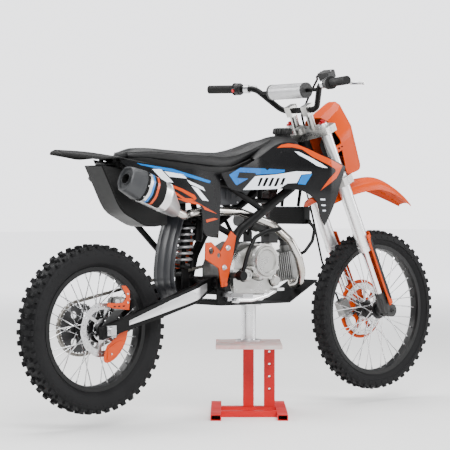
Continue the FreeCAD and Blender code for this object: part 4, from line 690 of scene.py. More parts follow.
def muffler_can():
    """The can with its tapered front, its strap and its plain label with two stripes."""
    metal, strap, label, stripe, band = range(5)
    can = Shape()
    inlet = head(*CAN_STATIONS[0][:3])
    rings = [(round_ring(inlet, 16.5), metal), (round_ring(inlet + CAN_RUN * 0.004, 20), metal),
             (can_ring(0, 0.12), metal), (can_ring(0, 0.96), metal), (can_ring(1, 0.0, 0.8), metal),
             (can_ring(1, 0.03, 0.8), metal), (can_ring(1, 0.04), metal), (can_ring(1, 0.26), label),
             (can_ring(1, 0.54), stripe), (can_ring(1, 0.62), label), (can_ring(1, 0.72), band),
             (can_ring(1, 0.80), metal), (can_ring(1, 0.90), strap), (can_ring(1, 0.905, 1.2), strap),
             (can_ring(1, 0.985, 1.2), strap), (can_ring(1, 0.99), strap), (can_ring(1, 1.0), strap)]
    label_edge = head(*CAN_STATIONS[1][:3]).y - 0.022
    for (first, number), (second, _) in zip(rings, rings[1:]):
        can.net([first, second], strap if number == strap else metal)
        if number in (label, stripe, band):
            for column in range(CAN_SIDES):
                outward = (first[column] + first[(column + 1) % CAN_SIDES]) / 2
                if outward.y < label_edge:
                    can.finishes[column - CAN_SIDES] = number
    can.faces.append(list(range(CAN_SIDES)))
    can.finishes.append(metal)
    ring = can_ring(1, 0.945, 1.2)
    centre = head(*CAN_STATIONS[2][:3]) - CAN_RUN * 0.006
    for column in range(1, CAN_SIDES, 2):
        place = (ring[column] + ring[(column + 1) % CAN_SIDES]) / 2
        can.bolt(place, place - centre, 0.0032, metal)
    can.make("muffler_can", "root", [brushed_can, black_and_painted_shade, black_and_painted_shade, sticker_orange, sticker_blue],
             ["muffler"], smooth=32)


def muffler_end():
    """The dark cap, with the outlet recessed in it, its deep wall and closed bottom black as painted shade.
    """
    cap = Shape()
    end = head(*CAN_STATIONS[3][:3])
    rings = [can_ring(2, 0.01), can_ring(2, 0.02, 0.6), can_ring(2, 0.80), can_ring(2, 0.94, -0.6),
             can_ring(3, 0, -3.0), can_ring(3, 0, -7.0), can_ring(3, 0, -8.5, back=5)]
    rings += [round_ring(end - CAN_RUN * depth, radius)
              for depth, radius in ((0.005, 21), (0.0015, 20.5), (0.0015, 18), (0.034, 17))]
    cap.loft(rings)
    # Painted shade: the outlet's deep wall and the face that closes it are black.
    cap.finishes[-2 - CAN_SIDES:] = [1] * CAN_SIDES + [0, 1]
    cap.make("muffler_end", "root", [cap_grey, black_and_painted_shade], ["muffler_cap"], smooth=32)


dress(header_steel, "exhaust_header")
muffler_can()
muffler_end()


# Wheels
# Black rims laced with bright wire through steel nipples, wave-edged drilled discs screwed to the hubs, and
# the rear caliper on its hanger with its guards.

rubber = finish("tyre_rubber", (0.006, 0.006, 0.0065), (0.013, 0.013, 0.0135), (14, 0.6), (0.60, 0.2),
                (260, 0.3), gloss=0.12)
rim_black = finish("rim_black", (0.003, 0.003, 0.0033), (0.006, 0.006, 0.006), (10, 0.4), (0.30, 0.15),
                   (500, 0.03), gloss=0.25)
wire_steel = finish("wire_steel", (0.72, 0.72, 0.73), (0.60, 0.60, 0.61), (40, 0.4), (0.18, 0.15),
                    (500, 0.03), metal=1.0)
disc_steel = finish("disc_steel", (0.60, 0.60, 0.61), (0.48, 0.47, 0.46), (26, 0.5), (0.2, 0.2), (500, 0.1),
                    metal=1.0)
sprocket_black = finish("sprocket_black", (0.02, 0.02, 0.021), (0.05, 0.05, 0.05), (20, 0.5), (0.35, 0.2),
                        (500, 0.1), wear=((0.45, 0.45, 0.46), 0.1, 120))
chain_steel = finish("chain_steel", (0.17, 0.16, 0.145), (0.30, 0.28, 0.25), (60, 0.6), (0.35, 0.25),
                     (500, 0.2), metal=0.9)
AXLES = {joint["name"].split("_")[0]: Vector(joint["pos_m"]) for joint in frame["joints"]
         if joint["name"].endswith("wheel_spin")}


def rear_spot(x, y, z):
    """A point given in millimetres from the middle of the rear axle."""
    return Vector((AXLES["rear"].x, 0, AXLES["rear"].z)) + Vector((x, y, z)) / 1000


def build_ring_group():
    """Copies of one small piece spaced round a cross-wise axle."""
    tree, given, result = new_group(
        "ring_of_copies", "GeometryNodeTree",
        {"Pitch Piece": "Object", "Count": "Int", "Centre": "Vector", "Finish": "Material"},
        {"Geometry": "Geometry"})
    pitch_piece = add_node(tree, "GeometryNodeObjectInfo", {"Object": given["Pitch Piece"]})
    line = add_node(tree, "GeometryNodeMeshLine", {"Count": given["Count"], "Offset": (0, 0, 0)})
    place = add_node(tree, "GeometryNodeSetPosition",
                     {"Geometry": line.outputs["Mesh"], "Position": given["Centre"]})
    step = worked_out(tree, "DIVIDE", 2 * math.pi, given["Count"])
    turn = worked_out(tree, "MULTIPLY", step, add_node(tree, "GeometryNodeInputIndex").outputs[0])
    angles = add_node(tree, "ShaderNodeCombineXYZ", {"Y": turn})
    rotation = add_node(tree, "FunctionNodeEulerToRotation", {"Euler": angles.outputs["Vector"]})
    copies = add_node(tree, "GeometryNodeInstanceOnPoints",
                      {"Points": place.outputs["Geometry"], "Instance": pitch_piece.outputs["Geometry"],
                       "Rotation": rotation.outputs["Rotation"]})
    real = add_node(tree, "GeometryNodeRealizeInstances", {"Geometry": copies.outputs["Instances"]})
    coat = add_node(tree, "GeometryNodeSetMaterial",
                    {"Geometry": real.outputs["Geometry"], "Material": given["Finish"]})
    feed(result, {"Geometry": coat.outputs["Geometry"]})
    return tree


ring_of_copies = build_ring_group()


def ringed(name, pitch_piece, count, centre, material, body):
    """Copies of a small piece round an axle, made once by the group and kept as a plain mesh."""
    piece = new_mesh(name, [], [])
    grown(piece, ring_of_copies,
          {"Pitch Piece": pitch_piece, "Count": count, "Centre": tuple(centre), "Finish": material})
    bpy.data.objects.remove(pitch_piece)
    piece.data.shade_smooth()
    piece.data.set_sharp_from_angle(angle=math.radians(30))
    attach(piece, body)


def drilled_disc(side, radius, y, bore=26.2, ring=40, thick=2.0, waves=10, sectors=40):
    """Wave-edged rotor: a drilled band, six arms and a ring screwed to the hub."""
    centre = Vector((AXLES[side].x, 0, AXLES[side].z))
    low = radius - 24
    shape = Shape()
    for index in range(sectors):
        sector = [2 * math.pi * (index + share) / sectors for share in (0, 0.5, 1)]
        rims = [radius - 1.5 * (1 - math.cos(waves * turn)) for turn in sector]
        drilled = low + (9 if index % 2 else 15.5)
        corners = [(low, 0), (low, 1), (low, 2), (drilled, 2), (rims[2], 2), (rims[1], 1), (rims[0], 0),
                   (drilled, 0)]
        hole = about(centre, drilled, sector[1], y)
        faces = []
        for level in (-thick, thick):
            middle = hole + Vector((0, level / 1000, 0))
            edge = [about(centre, r, sector[t], y + level) for r, t in corners]
            bored = [middle + (point - middle).normalized() * 0.0026 for point in edge]
            shape.net([edge, bored])
            faces.append((edge, bored))
        (near_edge, near_bored), (far_edge, far_bored) = faces
        shape.net([near_bored, far_bored])
        for first, second in ((0, 1), (1, 2), (4, 5), (5, 6)):
            shape.add([near_edge[first], near_edge[second], far_edge[second], far_edge[first]],
                      [(0, 1, 2, 3)])
    turned(shape, [(bore, y - thick), (ring, y - thick), (ring, y + thick), (bore, y + thick)], centre, 48)
    for index in range(6):
        turn = math.radians(60 * index + 12)
        outline = [about(centre, r, turn + lean, y - thick + 0.2) for r, lean in
                   ((ring - 2, -0.16), (low + 2, 0.06), (low + 2, 0.22), (ring - 2, 0.16))]
        shape.prism(outline, Vector((0, 2 * (thick - 0.2) / 1000, 0)))
        way = -1 if y < 0 else 1
        shape.bolt(about(centre, 33, turn, y + way * thick), (0, way, 0), 0.0042, 1)
    shape.make(f"{side}_rotor", f"{side}_wheel", [disc_steel, bolt_steel], [f"{side}_disc"], smooth=30)


def nipples(side, bed_radius, start_radius, flange_y):
    """The spoke nipples standing in from the rim's bed, each in line with its spoke."""
    axle = Vector((0, 0, 0))
    shape = Shape()
    for index in range(4):
        way = 1 if index % 2 else -1
        lead = 42 if index % 4 < 2 else -42
        start = about(axle, start_radius, math.radians(10 * index + lead), way * flange_y)
        end = about(axle, bed_radius, math.radians(10 * index), way * 3)
        run = (start - end).normalized()
        shape.rod(end, end + run * 0.013, 0.0031, 6)
    four = new_mesh("four_nipples", shape.points, shape.faces)
    ringed(f"{side}_nipples", four, 9, (AXLES[side].x, 0, AXLES[side].z), wire_steel, f"{side}_wheel")


def rear_brake():
    """Twin-piston caliper on its hanger, either side of the disc."""
    shape = Shape()
    for place, half, taper in (((63, -73, 88), (27, 7, 21), 0.86), ((63, -45, 88), (26, 8.5, 20), 0.86),
                               ((63, -59, 110), (17, 19, 2.2), 1.0)):
        along, across, up = (Vector(way) * size / 1000
                             for way, size in zip(((1, 0, 0), (0, 1, 0), (0, 0, 1)), half))
        shape.block(rear_spot(*place), along, across, up, 0, taper)
    hanger = [(-17, -14), (16, -17), (26, 6), (54, 46), (80, 66), (80, 76), (46, 76), (12, 44), (-15, 15)]
    shape.prism([rear_spot(x, -74, z) for x, z in hanger], Vector((0, -0.0045, 0)), 2)
    for x in (50, 76):
        shape.rod(rear_spot(x, -78, 96), rear_spot(x, -80, 96), 0.0095, 20, 1)
        shape.rod(rear_spot(x, -40, 86), rear_spot(x, -34.5, 86), 0.0105, 18)
    for x in (42, 84):
        shape.bolt(rear_spot(x, -37, 96), (0, 1, 0), 0.005, 1)
    shape.bolt(rear_spot(63, -60, 112), (0, 0, 1), 0.0045, 1)
    shape.make("rear_brake", "root", [cast_alloy, bolt_steel, dark_casting], ["rear_caliper"], smooth=30,
               bevel=0.0015)


def brake_guards():
    """The guard over the caliper with thin black plates of painted shade for its slits, and the fin with its
    stiffener below the disc.
    """
    guards = Shape()
    upper = [(2, 82), (30, 74), (66, 70), (98, 66), (101, 100), (100, 132), (84, 150), (66, 151), (70, 140),
             (82, 124), (84, 104), (70, 92), (34, 92), (4, 94)]
    lower = smooth_line([(2, -52), (44, -24), (74, 2), (93, -2), (80, -50), (44, -94), (4, -112), (-13, -98),
                         (2, -52)], 3)[:-1]
    fin = [(6, -62), (44, -42), (78, -36), (68, -58), (38, -90), (2, -102)]
    # Black plates of painted shade stand for the slits, which are not cut.
    slit_shades = [[(x, 78), (x + 10, 78), (x + 12, 83), (x + 2, 83)] for x in (28, 48, 68)]
    for outline, y, thick, number in ((upper, -80.4, 3.0, 0), (lower, -80.4, 1.2, 0), (fin, -81.4, 3.0, 0),
                                      *((slit, -83.3, 0.4, 1) for slit in slit_shades)):
        guards.prism([rear_spot(x, y, z) for x, z in outline], Vector((0, -thick / 1000, 0)), number)
    for place in ((92, -83.4, 92), (92, -83.4, 122), (20, -84.4, -82)):
        guards.bolt(rear_spot(*place), (0, -1, 0), 0.0045, 2)
    guards.make("brake_guards", "root", [guard_orange, rim_black, bolt_steel], ["rear_guards"], smooth=30,
                bevel=0.0007)


for side in ("rear", "front"):
    dress(rim_black, f"{side}_rim", f"{side}_hub")
    dress(wire_steel, f"{side}_spokes")
dress(cast_alloy, "front_caliper")
dress(sprocket_black, "rear_sprocket")
dress(chain_steel, "chain")
drilled_disc("rear", 95, -60)
drilled_disc("front", 105, 58)
for side, start_radius, flange_y in (("rear", 39, 34), ("front", 31, 30)):
    rim_low, rim_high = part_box(f"{side}_rim")
    nipples(side, (rim_high[2] - rim_low[2]) * 500 - 18, start_radius, flange_y)
rear_brake()
brake_guards()


# Tyres
# Soft knobbly tyres: a smooth carcass with fine rings on its sidewalls, and rubber blocks round the crown,
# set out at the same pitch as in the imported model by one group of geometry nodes.

def knob(shape, turn, first, second, length, height):
    """One rubber block between two (radius, y) points of the crown, narrower at its top."""
    out = Vector((math.cos(turn), 0, -math.sin(turn)))
    along = Vector((math.sin(turn), 0, math.cos(turn))) * (length / 2)
    start = out * first[0] + Vector((0, first[1], 0))
    end = out * second[0] + Vector((0, second[1], 0))
    normal = along.cross(end - start).normalized()
    if normal.dot(out) < 0:
        normal = -normal
    sunk = 0.0015
    middle = (start + end) / 2 + normal * ((height - sunk) / 2)
    shape.block(middle, along, (end - start) / 2, normal * ((height + sunk) / 2), taper=0.86)


def tyre_pieces(side, lug, pitches):
    """A wheel's carcass, from bead to bead, and its tread of blocks of one height."""
    low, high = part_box(f"{side}_tyre")
    rim_low, rim_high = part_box(f"{side}_rim")
    centre = (Vector(low) + Vector(high)) / 2
    radius, half = (high[2] - low[2]) / 2 - 0.0002, (high[1] - low[1]) / 2
    rim_radius, seat = (rim_high[2] - rim_low[2]) / 2, (rim_high[1] - rim_low[1]) / 2 - 0.0056
    crown = radius - lug
    flank = smooth_line([(rim_radius + 0.0015, seat + 0.005), (rim_radius + 0.018, half * 0.84),
                         (crown - 0.026, half * 0.985), (crown - 0.008, half * 0.88), (crown, half * 0.5),
                         (crown + 0.0008, 0)], 6)
    ring_at = rim_radius + 0.012
    outer = [(r, y + (0.0014 if abs(r - ring_at) < 0.0035 else 0)) for r, y in flank]
    right = [(rim_radius - 0.0124, seat), (rim_radius + 0.0005, seat + 0.0008)] + outer
    profile = right + [(r, -y) for r, y in right[-2::-1]]
    carcass = Shape()
    turned(carcass, [(r * 1000, y * 1000) for r, y in profile], centre, 144)
    carcass.make(f"{side}_carcass", f"{side}_wheel", [rubber], [f"{side}_tyre"])
    pitch = 2 * math.pi / pitches
    length = pitch * radius * 0.46
    blocks = Shape()
    for row in (0, 1):
        turn = row * pitch
        for way in (-1, 1):
            knob(blocks, turn, (crown - 0.0012, way * half * 0.56), (crown - 0.0072, way * half * 0.86),
                 length, lug)
            knob(blocks, turn + pitch / 2, (crown - 0.013, way * half * 0.90),
                 (crown - 0.023, way * half * 0.972), length * 0.7, 0.0028)
            if row:
                knob(blocks, turn + pitch / 2, (crown, way * half * 0.14), (crown, way * half * 0.44),
                     length * 0.8, lug)
        if not row:
            knob(blocks, turn + pitch / 2, (crown, -half * 0.28), (crown, half * 0.28), length * 0.8, lug)
    one = new_mesh(f"{side}_pitch", blocks.points, blocks.faces)
    work = bmesh.new()
    work.from_mesh(one.data)
    bmesh.ops.recalc_face_normals(work, faces=work.faces)
    bmesh.ops.bevel(work, geom=work.edges, offset=0.0009, segments=1, affect="EDGES")
    work.to_mesh(one.data)
    work.free()
    ringed(f"{side}_tread", one, pitches // 2, centre, rubber, f"{side}_wheel")


tyre_pieces("rear", 0.012, 48)
tyre_pieces("front", 0.009, 52)


# Fork, clamps and bar
# Silver outer tubes and bright inner tubes in machined clamps with red caps, and a black bar with soft grips,
# a padded clamp, levers and switches screwed to it.

fork_silver = finish("fork_silver", (0.80, 0.805, 0.81), (0.70, 0.70, 0.71), (8, 0.4), (0.24, 0.12),
                     (700, 0.03), metal=0.8)
chromed = finish("chromed", (0.80, 0.80, 0.81), (0.70, 0.70, 0.71), (10, 0.3), (0.08, 0.08), (300, 0.01),
                 metal=1.0)
grip_rubber = finish("grip_rubber", (0.006, 0.006, 0.006), (0.012, 0.012, 0.012), (30, 0.5), (0.6, 0.15),
                     (260, 0.4), gloss=0.2)
pad_silver = finish("pad_silver", (0.52, 0.52, 0.53), (0.36, 0.36, 0.37), (14, 0.6), (0.30, 0.2), (500, 0.15),
                    metal=0.8)
dress(machined, "triple_clamps")
dress(fork_silver, "fork_tubes")
dress(chromed, "fork_sliders")
dress(dark_casting, "fork_feet")
dress(frame_black, "handlebar")
dress(pad_silver, "bar_pad")
dress(grip_rubber, "grips", "brake_hose")
anodised_red = finish("anodised_red", (0.45, 0.004, 0.01), (0.36, 0.003, 0.008), (40, 0.4), (0.25, 0.1),
                      (500, 0.03), metal=0.5)
lever_alloy = finish("lever_alloy", (0.66, 0.66, 0.67), (0.52, 0.52, 0.53), (30, 0.4), (0.22, 0.15),
                     (600, 0.04), metal=1.0)
STEM_OFFSET, HALF_LEG, FORK_LENGTH = 45, 88, 802
BAR_ELBOW, BAR_END = Vector((12, 176, 172)), Vector((-39, 375, 201))
GRIP = 118
HOUSING, SWITCH, PERCH, CLAMP = GRIP + 12, GRIP + 14, GRIP + 51, GRIP + 52
CONTROL_BLACK, CONTROL_BRIGHT, CONTROL_RED = range(3)


def fork_details():
    """Red fork caps and clamp screws, and the black facing on each orange slider guard."""
    shape = Shape()
    for side in (-1, 1):
        cap = steer(STEM_OFFSET, HALF_LEG * side, 5.8)
        shape.rod(cap, cap + STEER_UP * 0.003, 0.0155, 20)
        shape.rod(cap + STEER_UP * 0.003, cap + STEER_UP * 0.011, 0.0075, 6)
        for z in (-16, -28, -225, -234, -243):
            shape.bolt(steer(STEM_OFFSET + 3, (HALF_LEG + 34) * side, z), (0, side, 0), 0.0038, 1)
        for x in (35, 22):
            shape.bolt(steer(x, 44 * side, 86), STEER_UP, 0.0042, 1)
        rows = []
        for z, narrow in ((52, 24), (66, 6), (90, 0), (290, 0), (306, 8), (318, 26)):
            first, last = 18 + narrow, 84 - narrow * 0.6
            facing = [math.radians(first + (last - first) * step / 6) for step in range(7)]
            rows.append([steer(STEM_OFFSET + 6 + reach * math.cos(a), side * (HALF_LEG + reach * math.sin(a)),
                               z - FORK_LENGTH)
                         for reach, arc in ((34.2, facing[::-1]), (35.0, facing)) for a in arc])
        shape.loft(rows, 2)
    shape.make("fork_details", "steering", [anodised_red, bolt_steel, rim_black], smooth=35)


def along_bar(side, distance, x=0, y=0, z=0):
    """A place in steering axes, measured in along the bar from its end on one side, and off it."""
    end = Vector((BAR_END.x, BAR_END.y * side, BAR_END.z))
    elbow = Vector((BAR_ELBOW.x, BAR_ELBOW.y * side, BAR_ELBOW.z))
    return end - (end - elbow).normalized() * distance + Vector((x, y, z))


def on_bar(side, distance, x=0, y=0, z=0):
    """The same place as a point of the scene."""
    return steer(*along_bar(side, distance, x, y, z))


def bent_lever(shape, side):
    """A perch clamped to the bar, and the lever that runs out from it past the grip to a balled tip."""
    shape.rod(on_bar(side, GRIP + 62), on_bar(side, GRIP + 42), 0.0165, 20, CONTROL_BRIGHT)
    bar_way = steer_way(*(along_bar(side, 0) - along_bar(side, 9)))
    shape.block(on_bar(side, CLAMP, 15, 0, -3), steer_way(9, 0, -2), bar_way, steer_way(1, 0, 7),
                CONTROL_BRIGHT)
    knuckle = on_bar(side, PERCH, 44, 0, -10)
    shape.tube([on_bar(side, PERCH), on_bar(side, PERCH, 22, 0, -5), knuckle], 0.0085, 12, CONTROL_BRIGHT,
               0.0075)
    root = along_bar(side, PERCH, 44, 0, -10)
    lever = [root, root + Vector((30, 40 * side, -16))]
    lever += [along_bar(side, 0, x, y * side, z)
              for x, y, z in ((90, -78, -46), (92, -44, -49), (91, -16, -50))]
    line = [steer(*place) for place in smooth_line([tuple(place) for place in lever], 5)]
    shape.tube(line, 0.0062, 10, CONTROL_BRIGHT, 0.0046)
    tip, step = line[-1], steer_way(0, side * 3.2, 0)
    for index, (radius, end_radius) in enumerate(((0.0058, 0.0066), (0.0066, 0.0058), (0.0050, 0.0028))):
        shape.rod(tip + step * (index - 1), tip + step * index, radius, 12, CONTROL_BRIGHT, end_radius)
    shape.bolt(knuckle, steer_way(0, 0, 1), 0.0062, CONTROL_BRIGHT)


def controls():
    """Levers on their perches, the grips' housings, the fluid tank on the right and the stop button."""
    shape = Shape()
    for side in (-1, 1):
        shape.rod(on_bar(side, GRIP + 27), on_bar(side, GRIP + 21), 0.0205, 24, CONTROL_BLACK)
        shape.rod(on_bar(side, GRIP + 21), on_bar(side, GRIP + 4), 0.0235, 24, CONTROL_BLACK)
        for x in (-14, 14):
            shape.bolt(on_bar(side, CLAMP, 19, 0, 5), steer_way(0, 0, 1), 0.0034, CONTROL_BRIGHT)
            shape.bolt(on_bar(side, HOUSING, x * 0.9, 0, 18), steer_way(x * 0.2, 0, 1), 0.0028,
                       CONTROL_BRIGHT)
        bent_lever(shape, side)
        if side < 0:
            for z, half_x, half_y, half_z, taper in ((20, 17.5, 27, 13, 1.06), (34.5, 18.5, 28, 1.6, 0.95)):
                shape.block(on_bar(side, PERCH, 32, 8, z), steer_way(half_x, 0, 0),
                            Vector((0, half_y / 1000, 0)), steer_way(0, 0, half_z), CONTROL_BLACK, taper)
            for y in (-18, 34):
                shape.bolt(on_bar(side, PERCH, 32, y, 36), steer_way(0, 0, 1), 0.0032, CONTROL_BRIGHT)
        else:
            shape.block(on_bar(side, SWITCH, -20, 0, 6), steer_way(9, 0, 0), Vector((0, 0.009, 0)),
                        steer_way(0, 0, 8), CONTROL_BLACK)
            shape.rod(on_bar(side, SWITCH, -27, 0, 6), on_bar(side, SWITCH, -33, 0, 6), 0.0062, 16,
                      CONTROL_RED)
        shape.rod(steer(15, 87 * side, 152), steer(15, 96.5 * side, 152), 0.0297, 28, CONTROL_BLACK)
    shape.make("controls", "steering", [dark_casting, lever_alloy, anodised_red], ["bar_controls"], smooth=35)


fork_details()
controls()


# Bodywork
# Moulded polypropylene: black panels with a gloss skin and generic blocks and stripes, orange fenders,
# mask and guards. The panels follow the same crowned faces as the solids that they stand for.

gloss_black = finish("gloss_black", (0.0025, 0.0025, 0.0028), (0.004, 0.004, 0.0045), (5, 0.4), (0.18, 0.12),
                     (900, 0.02), gloss=0.3)
plastic_black = finish("plastic_black", (0.003, 0.003, 0.003), (0.006, 0.006, 0.006), (8, 0.5), (0.42, 0.15),
                       (700, 0.1), gloss=0.2)
plastic_grey = finish("plastic_grey", (0.016, 0.017, 0.020), (0.026, 0.027, 0.031), (8, 0.5), (0.32, 0.15),
                      (700, 0.1), gloss=0.4)
gloss_orange = finish("gloss_orange", (0.45, 0.043, 0.0001), (0.39, 0.036, 0.0001), (5, 0.4), (0.30, 0.1),
                      (800, 0.02), gloss=0.14)


def shroud_spread(x, z):
    """How far out a shroud stands at a point given from the head, in millimetres."""
    spread = 112 + 58 * min(1.0, max(0.0, (x + 300) / 300))
    over = max(0.0, z + 150)
    under = max(0.0, -230 - z)
    return spread - 0.0035 * over ** 2 - 0.0012 * under ** 2


def panel_spread(x, z):
    """How far out a side panel stands at a point given from the head, in millimetres."""
    return 98 - 0.05 * max(0.0, -600 - x) - 0.0004 * (z + 250) ** 2


def slotted(piece, cutters):
    """Cut the vents right through a panel."""
    cutter = new_mesh("vent_cutter", cutters.points, cutters.faces)
    cut = piece.modifiers.new("vents", "BOOLEAN")
    cut.object = cutter
    cut.solver = "EXACT"
    settled(piece)
    bpy.data.objects.remove(cutter)


def panel(name, columns, spread, side, node, boss, thick=3.6, rows=18):
    """A crowned panel from columns of top and bottom points, with its wall closed and a boss behind it."""
    top = smooth_line([column[:2] for column in columns], 6)
    low = smooth_line([column[2:] for column in columns], 6)
    outer, inner = [], []
    for (top_x, top_z), (low_x, low_z) in zip(top, low):
        places = [(top_x + (low_x - top_x) * step / rows, top_z + (low_z - top_z) * step / rows)
                  for step in range(rows + 1)]
        outer.append([head(x, side * spread(x, z), z) for x, z in places])
        inner.append([head(x, side * (spread(x, z) - thick), z) for x, z in places])
    shape = Shape()
    shape.wall(outer, inner)
    x, near, far, z, radius = boss
    shape.rod(head(x, side * near, z), head(x, side * far, z), radius / 1000, 16)
    return shape.make(name, "root", [gloss_black], [node], smooth=40)


def stickers(name, patches, spread, side, lift=0.25, thick=0.25, cell=14):
    """Printed vinyl on a panel: each patch is a finish and its outline's points, given from the head."""
    work = bmesh.new()
    for finish_number, outline in patches:
        flat = bmesh.new()
        flat.faces.new([flat.verts.new((x, 0, z)) for x, z in outline])
        for axis, way in ((0, Vector((1, 0, 0))), (1, Vector((0, 0, 1)))):
            values = [point[axis] for point in outline]
            cut = min(values) + cell
            while cut < max(values):
                bmesh.ops.bisect_plane(flat, geom=flat.verts[:] + flat.edges[:] + flat.faces[:],
                                       plane_co=way * cut, plane_no=way)
                cut += cell
        raised = {}
        for vertex in flat.verts:
            x, _, z = vertex.co
            raised[vertex] = work.verts.new(head(x, side * (spread(x, z) + lift + thick), z))
        for patch_face in flat.faces:
            made = work.faces.new([raised[vertex] for vertex in patch_face.verts])
            made.material_index = finish_number
        flat.free()
    bmesh.ops.recalc_face_normals(work, faces=work.faces)
    for printed in work.faces:
        if printed.normal.y * side < 0:
            printed.normal_flip()
    piece = new_mesh(name, [], [])
    work.to_mesh(piece.data)
    work.free()
    for material in STICKERS:
        piece.data.materials.append(material)
    sheet = piece.modifiers.new("vinyl", "SOLIDIFY")
    sheet.thickness = thick / 1000
    sheet.offset = -1
    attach(piece, "root")
    return piece


SHROUD = [(-493, -172, -459, -222), (-400, -152, -402, -237), (-300, -110, -320, -230),
          (-220, -67, -263, -224), (-147, -54, -180, -228), (-58, -86, -117, -235), (10, -112, -60, -270),
          (50, -128, -33, -330), (80, -142, -8, -362)]
VENT_START, VENT_PITCH, VENT_WIDE, VENT_LEAN = -318, 24, 12, 16
VENT_TOP, VENT_LOW = -186, -217
VENT_SHADE_SHEET = [(-338, -223), (-298, -180), (-196, -180), (-214, -223)]
SHROUD_PRINT = [
    (ORANGE, [(-217, -76), (-194, -64), (-160, -58), (-124, -61), (-83, -77), (-38, -98), (4, -115),
              (63, -138), (49, -160), (32, -184), (-43, -231), (-5, -187), (28, -160), (24, -151),
              (-47, -119), (-72, -108), (-110, -80), (-149, -72), (-190, -73)]),
    (WHITE, [(-146, -87), (-127, -89), (-80, -111), (-35, -134), (-12, -147), (-29, -147), (-60, -140),
             (-96, -118), (-130, -101)]),
    (BLUE, [(-455, -177), (-401, -151), (-283, -152), (-273, -159), (-264, -153), (-198, -156), (-200, -165),
            (-236, -171), (-323, -175), (-327, -169), (-405, -167), (-417, -188), (-362, -190), (-417, -214),
            (-424, -211)]),
    (WHITE, [(-388, -231), (-328, -181), (-236, -174), (-147, -161), (-84, -163), (-86, -169), (-128, -173),
             (-147, -204), (-188, -206), (-222, -226), (-300, -229)]),
    (BLUE, [(-125, -174), (-80, -170), (-110, -211), (-143, -208)]),
    (WHITE, [(-44, -262), (-24, -262), (-22, -268), (-42, -268)]),
    (WHITE, [(-38, -284), (-20, -284), (-18, -289), (-36, -289)]),
    (WHITE, [(-30, -304), (-16, -304), (-14, -309), (-28, -309)]),
]
PANEL_RIGHT = [(-925, -128, -918, -140), (-849, -136, -849, -192), (-772, -145, -772, -250),
               (-690, -152, -704, -278), (-620, -158, -622, -280), (-572, -162, -575, -292),
               (-552, -165, -554, -386), (-482, -174, -485, -405)]
PANEL_LEFT = PANEL_RIGHT[:3] + [(-690, -152, -690, -318), (-620, -158, -622, -352),
                                (-572, -162, -575, -378)] + PANEL_RIGHT[6:]
PANEL_PRINT = [
    (BLUE, [(-856, -140), (-702, -158), (-528, -200), (-536, -208), (-715, -168), (-838, -147)]),
    (WHITE, [(-790, -160), (-752, -160), (-700, -206), (-738, -206)]),
    (WHITE, [(-738, -167), (-652, -178), (-640, -192), (-716, -186)]),
    (WHITE, [(-640, -196), (-566, -222), (-556, -236), (-624, -212)]),
    (WHITE, [(-620, -218), (-590, -226), (-540, -272), (-570, -268)]),
    (ORANGE, [(-755, -200), (-660, -228), (-606, -250), (-597, -262), (-606, -270), (-614, -261),
              (-664, -238), (-745, -210)]),
    (ORANGE, [(-606, -271), (-650, -269), (-700, -244), (-744, -212), (-734, -214), (-695, -237),
              (-648, -261), (-615, -263)]),
    (ORANGE, [(-696, -259), (-600, -274), (-497, -318), (-558, -302), (-570, -288), (-640, -277)]),
    (ORANGE, [(-551, -338), (-512, -332), (-492, -336), (-546, -348)]),
]
for side, word in ((-1, "right"), (1, "left")):
    shroud = panel(f"{word}_shroud", SHROUD, shroud_spread, side, "shrouds", (-200, 106.5, 119.0, -97, 8))
    vents = Shape()
    for index in range(5):
        x = VENT_START + index * VENT_PITCH
        outline = [(x + VENT_LEAN, VENT_TOP), (x + VENT_LEAN + VENT_WIDE, VENT_TOP),
                   (x + VENT_WIDE, VENT_LOW), (x, VENT_LOW)]
        vents.prism([head(px, side * 92, pz) for px, pz in outline][::side], Vector((0, side * 0.06, 0)))
    slotted(shroud, vents)
    slotted(stickers(f"{word}_shroud_print", SHROUD_PRINT, shroud_spread, side), vents)
    # A black sheet of painted shade behind the vents, so that the slots look dark.
    shade_sheet = Shape()
    shade_sheet.prism([head(x, side * 97, z) for x, z in VENT_SHADE_SHEET][::-side], Vector((0, side * 0.0015, 0)))
    shade_sheet.make(f"{word}_vent_liner", "root", [black_and_painted_shade], smooth=30)
    panel(f"{word}_side_panel", PANEL_RIGHT if side < 0 else PANEL_LEFT, panel_spread, side,
          "side_panels", (-560, 77, 94, -196, 7))
    stickers(f"{word}_panel_print", PANEL_PRINT, panel_spread, side)


def fender(name, stations, shares, node, body, material, thick=0.0036):
    """A moulded fender: cross rows along its length, smoothed, with a closed wall."""
    rows = [[head(x, share * half, z - fall * drop) for share, fall in smooth_line(shares, 3)]
            for x, z, half, drop in smooth_line(stations, 4)]
    shape = Shape()
    shape.wall(rows, [[point - Vector((0, 0, thick)) for point in row] for row in rows])
    shape.make(name, body, [material], [node], smooth=50)


FENDER_SHARES = [(-1, 1), (-0.86, 0.42), (-0.5, 0.12), (-0.3, -0.06), (0, -0.12), (0.3, -0.06), (0.5, 0.12),
                 (0.86, 0.42), (1, 1)]
FRONT_FENDER = [(62, -262, 40, 34), (120, -246, 56, 36), (230, -205, 61, 40), (330, -184, 63, 42),
                (398, -182, 62, 42), (470, -204, 58, 38), (536, -240, 47, 26), (587, -276, 33, 12)]
REAR_TAIL = [(-1142, -99, 36, 12), (-1060, -102, 50, 18), (-1000, -106, 56, 20), (-917.4, -114.3, 62, 6),
             (-860, -124.5, 68, 7), (-640, -152, 74, 10)]
fender("front_fender_shell", FRONT_FENDER, FENDER_SHARES, "front_fender", "steering", gloss_orange)
fender("tail", REAR_TAIL, FENDER_SHARES, "rear_fender", "root", plastic_black)


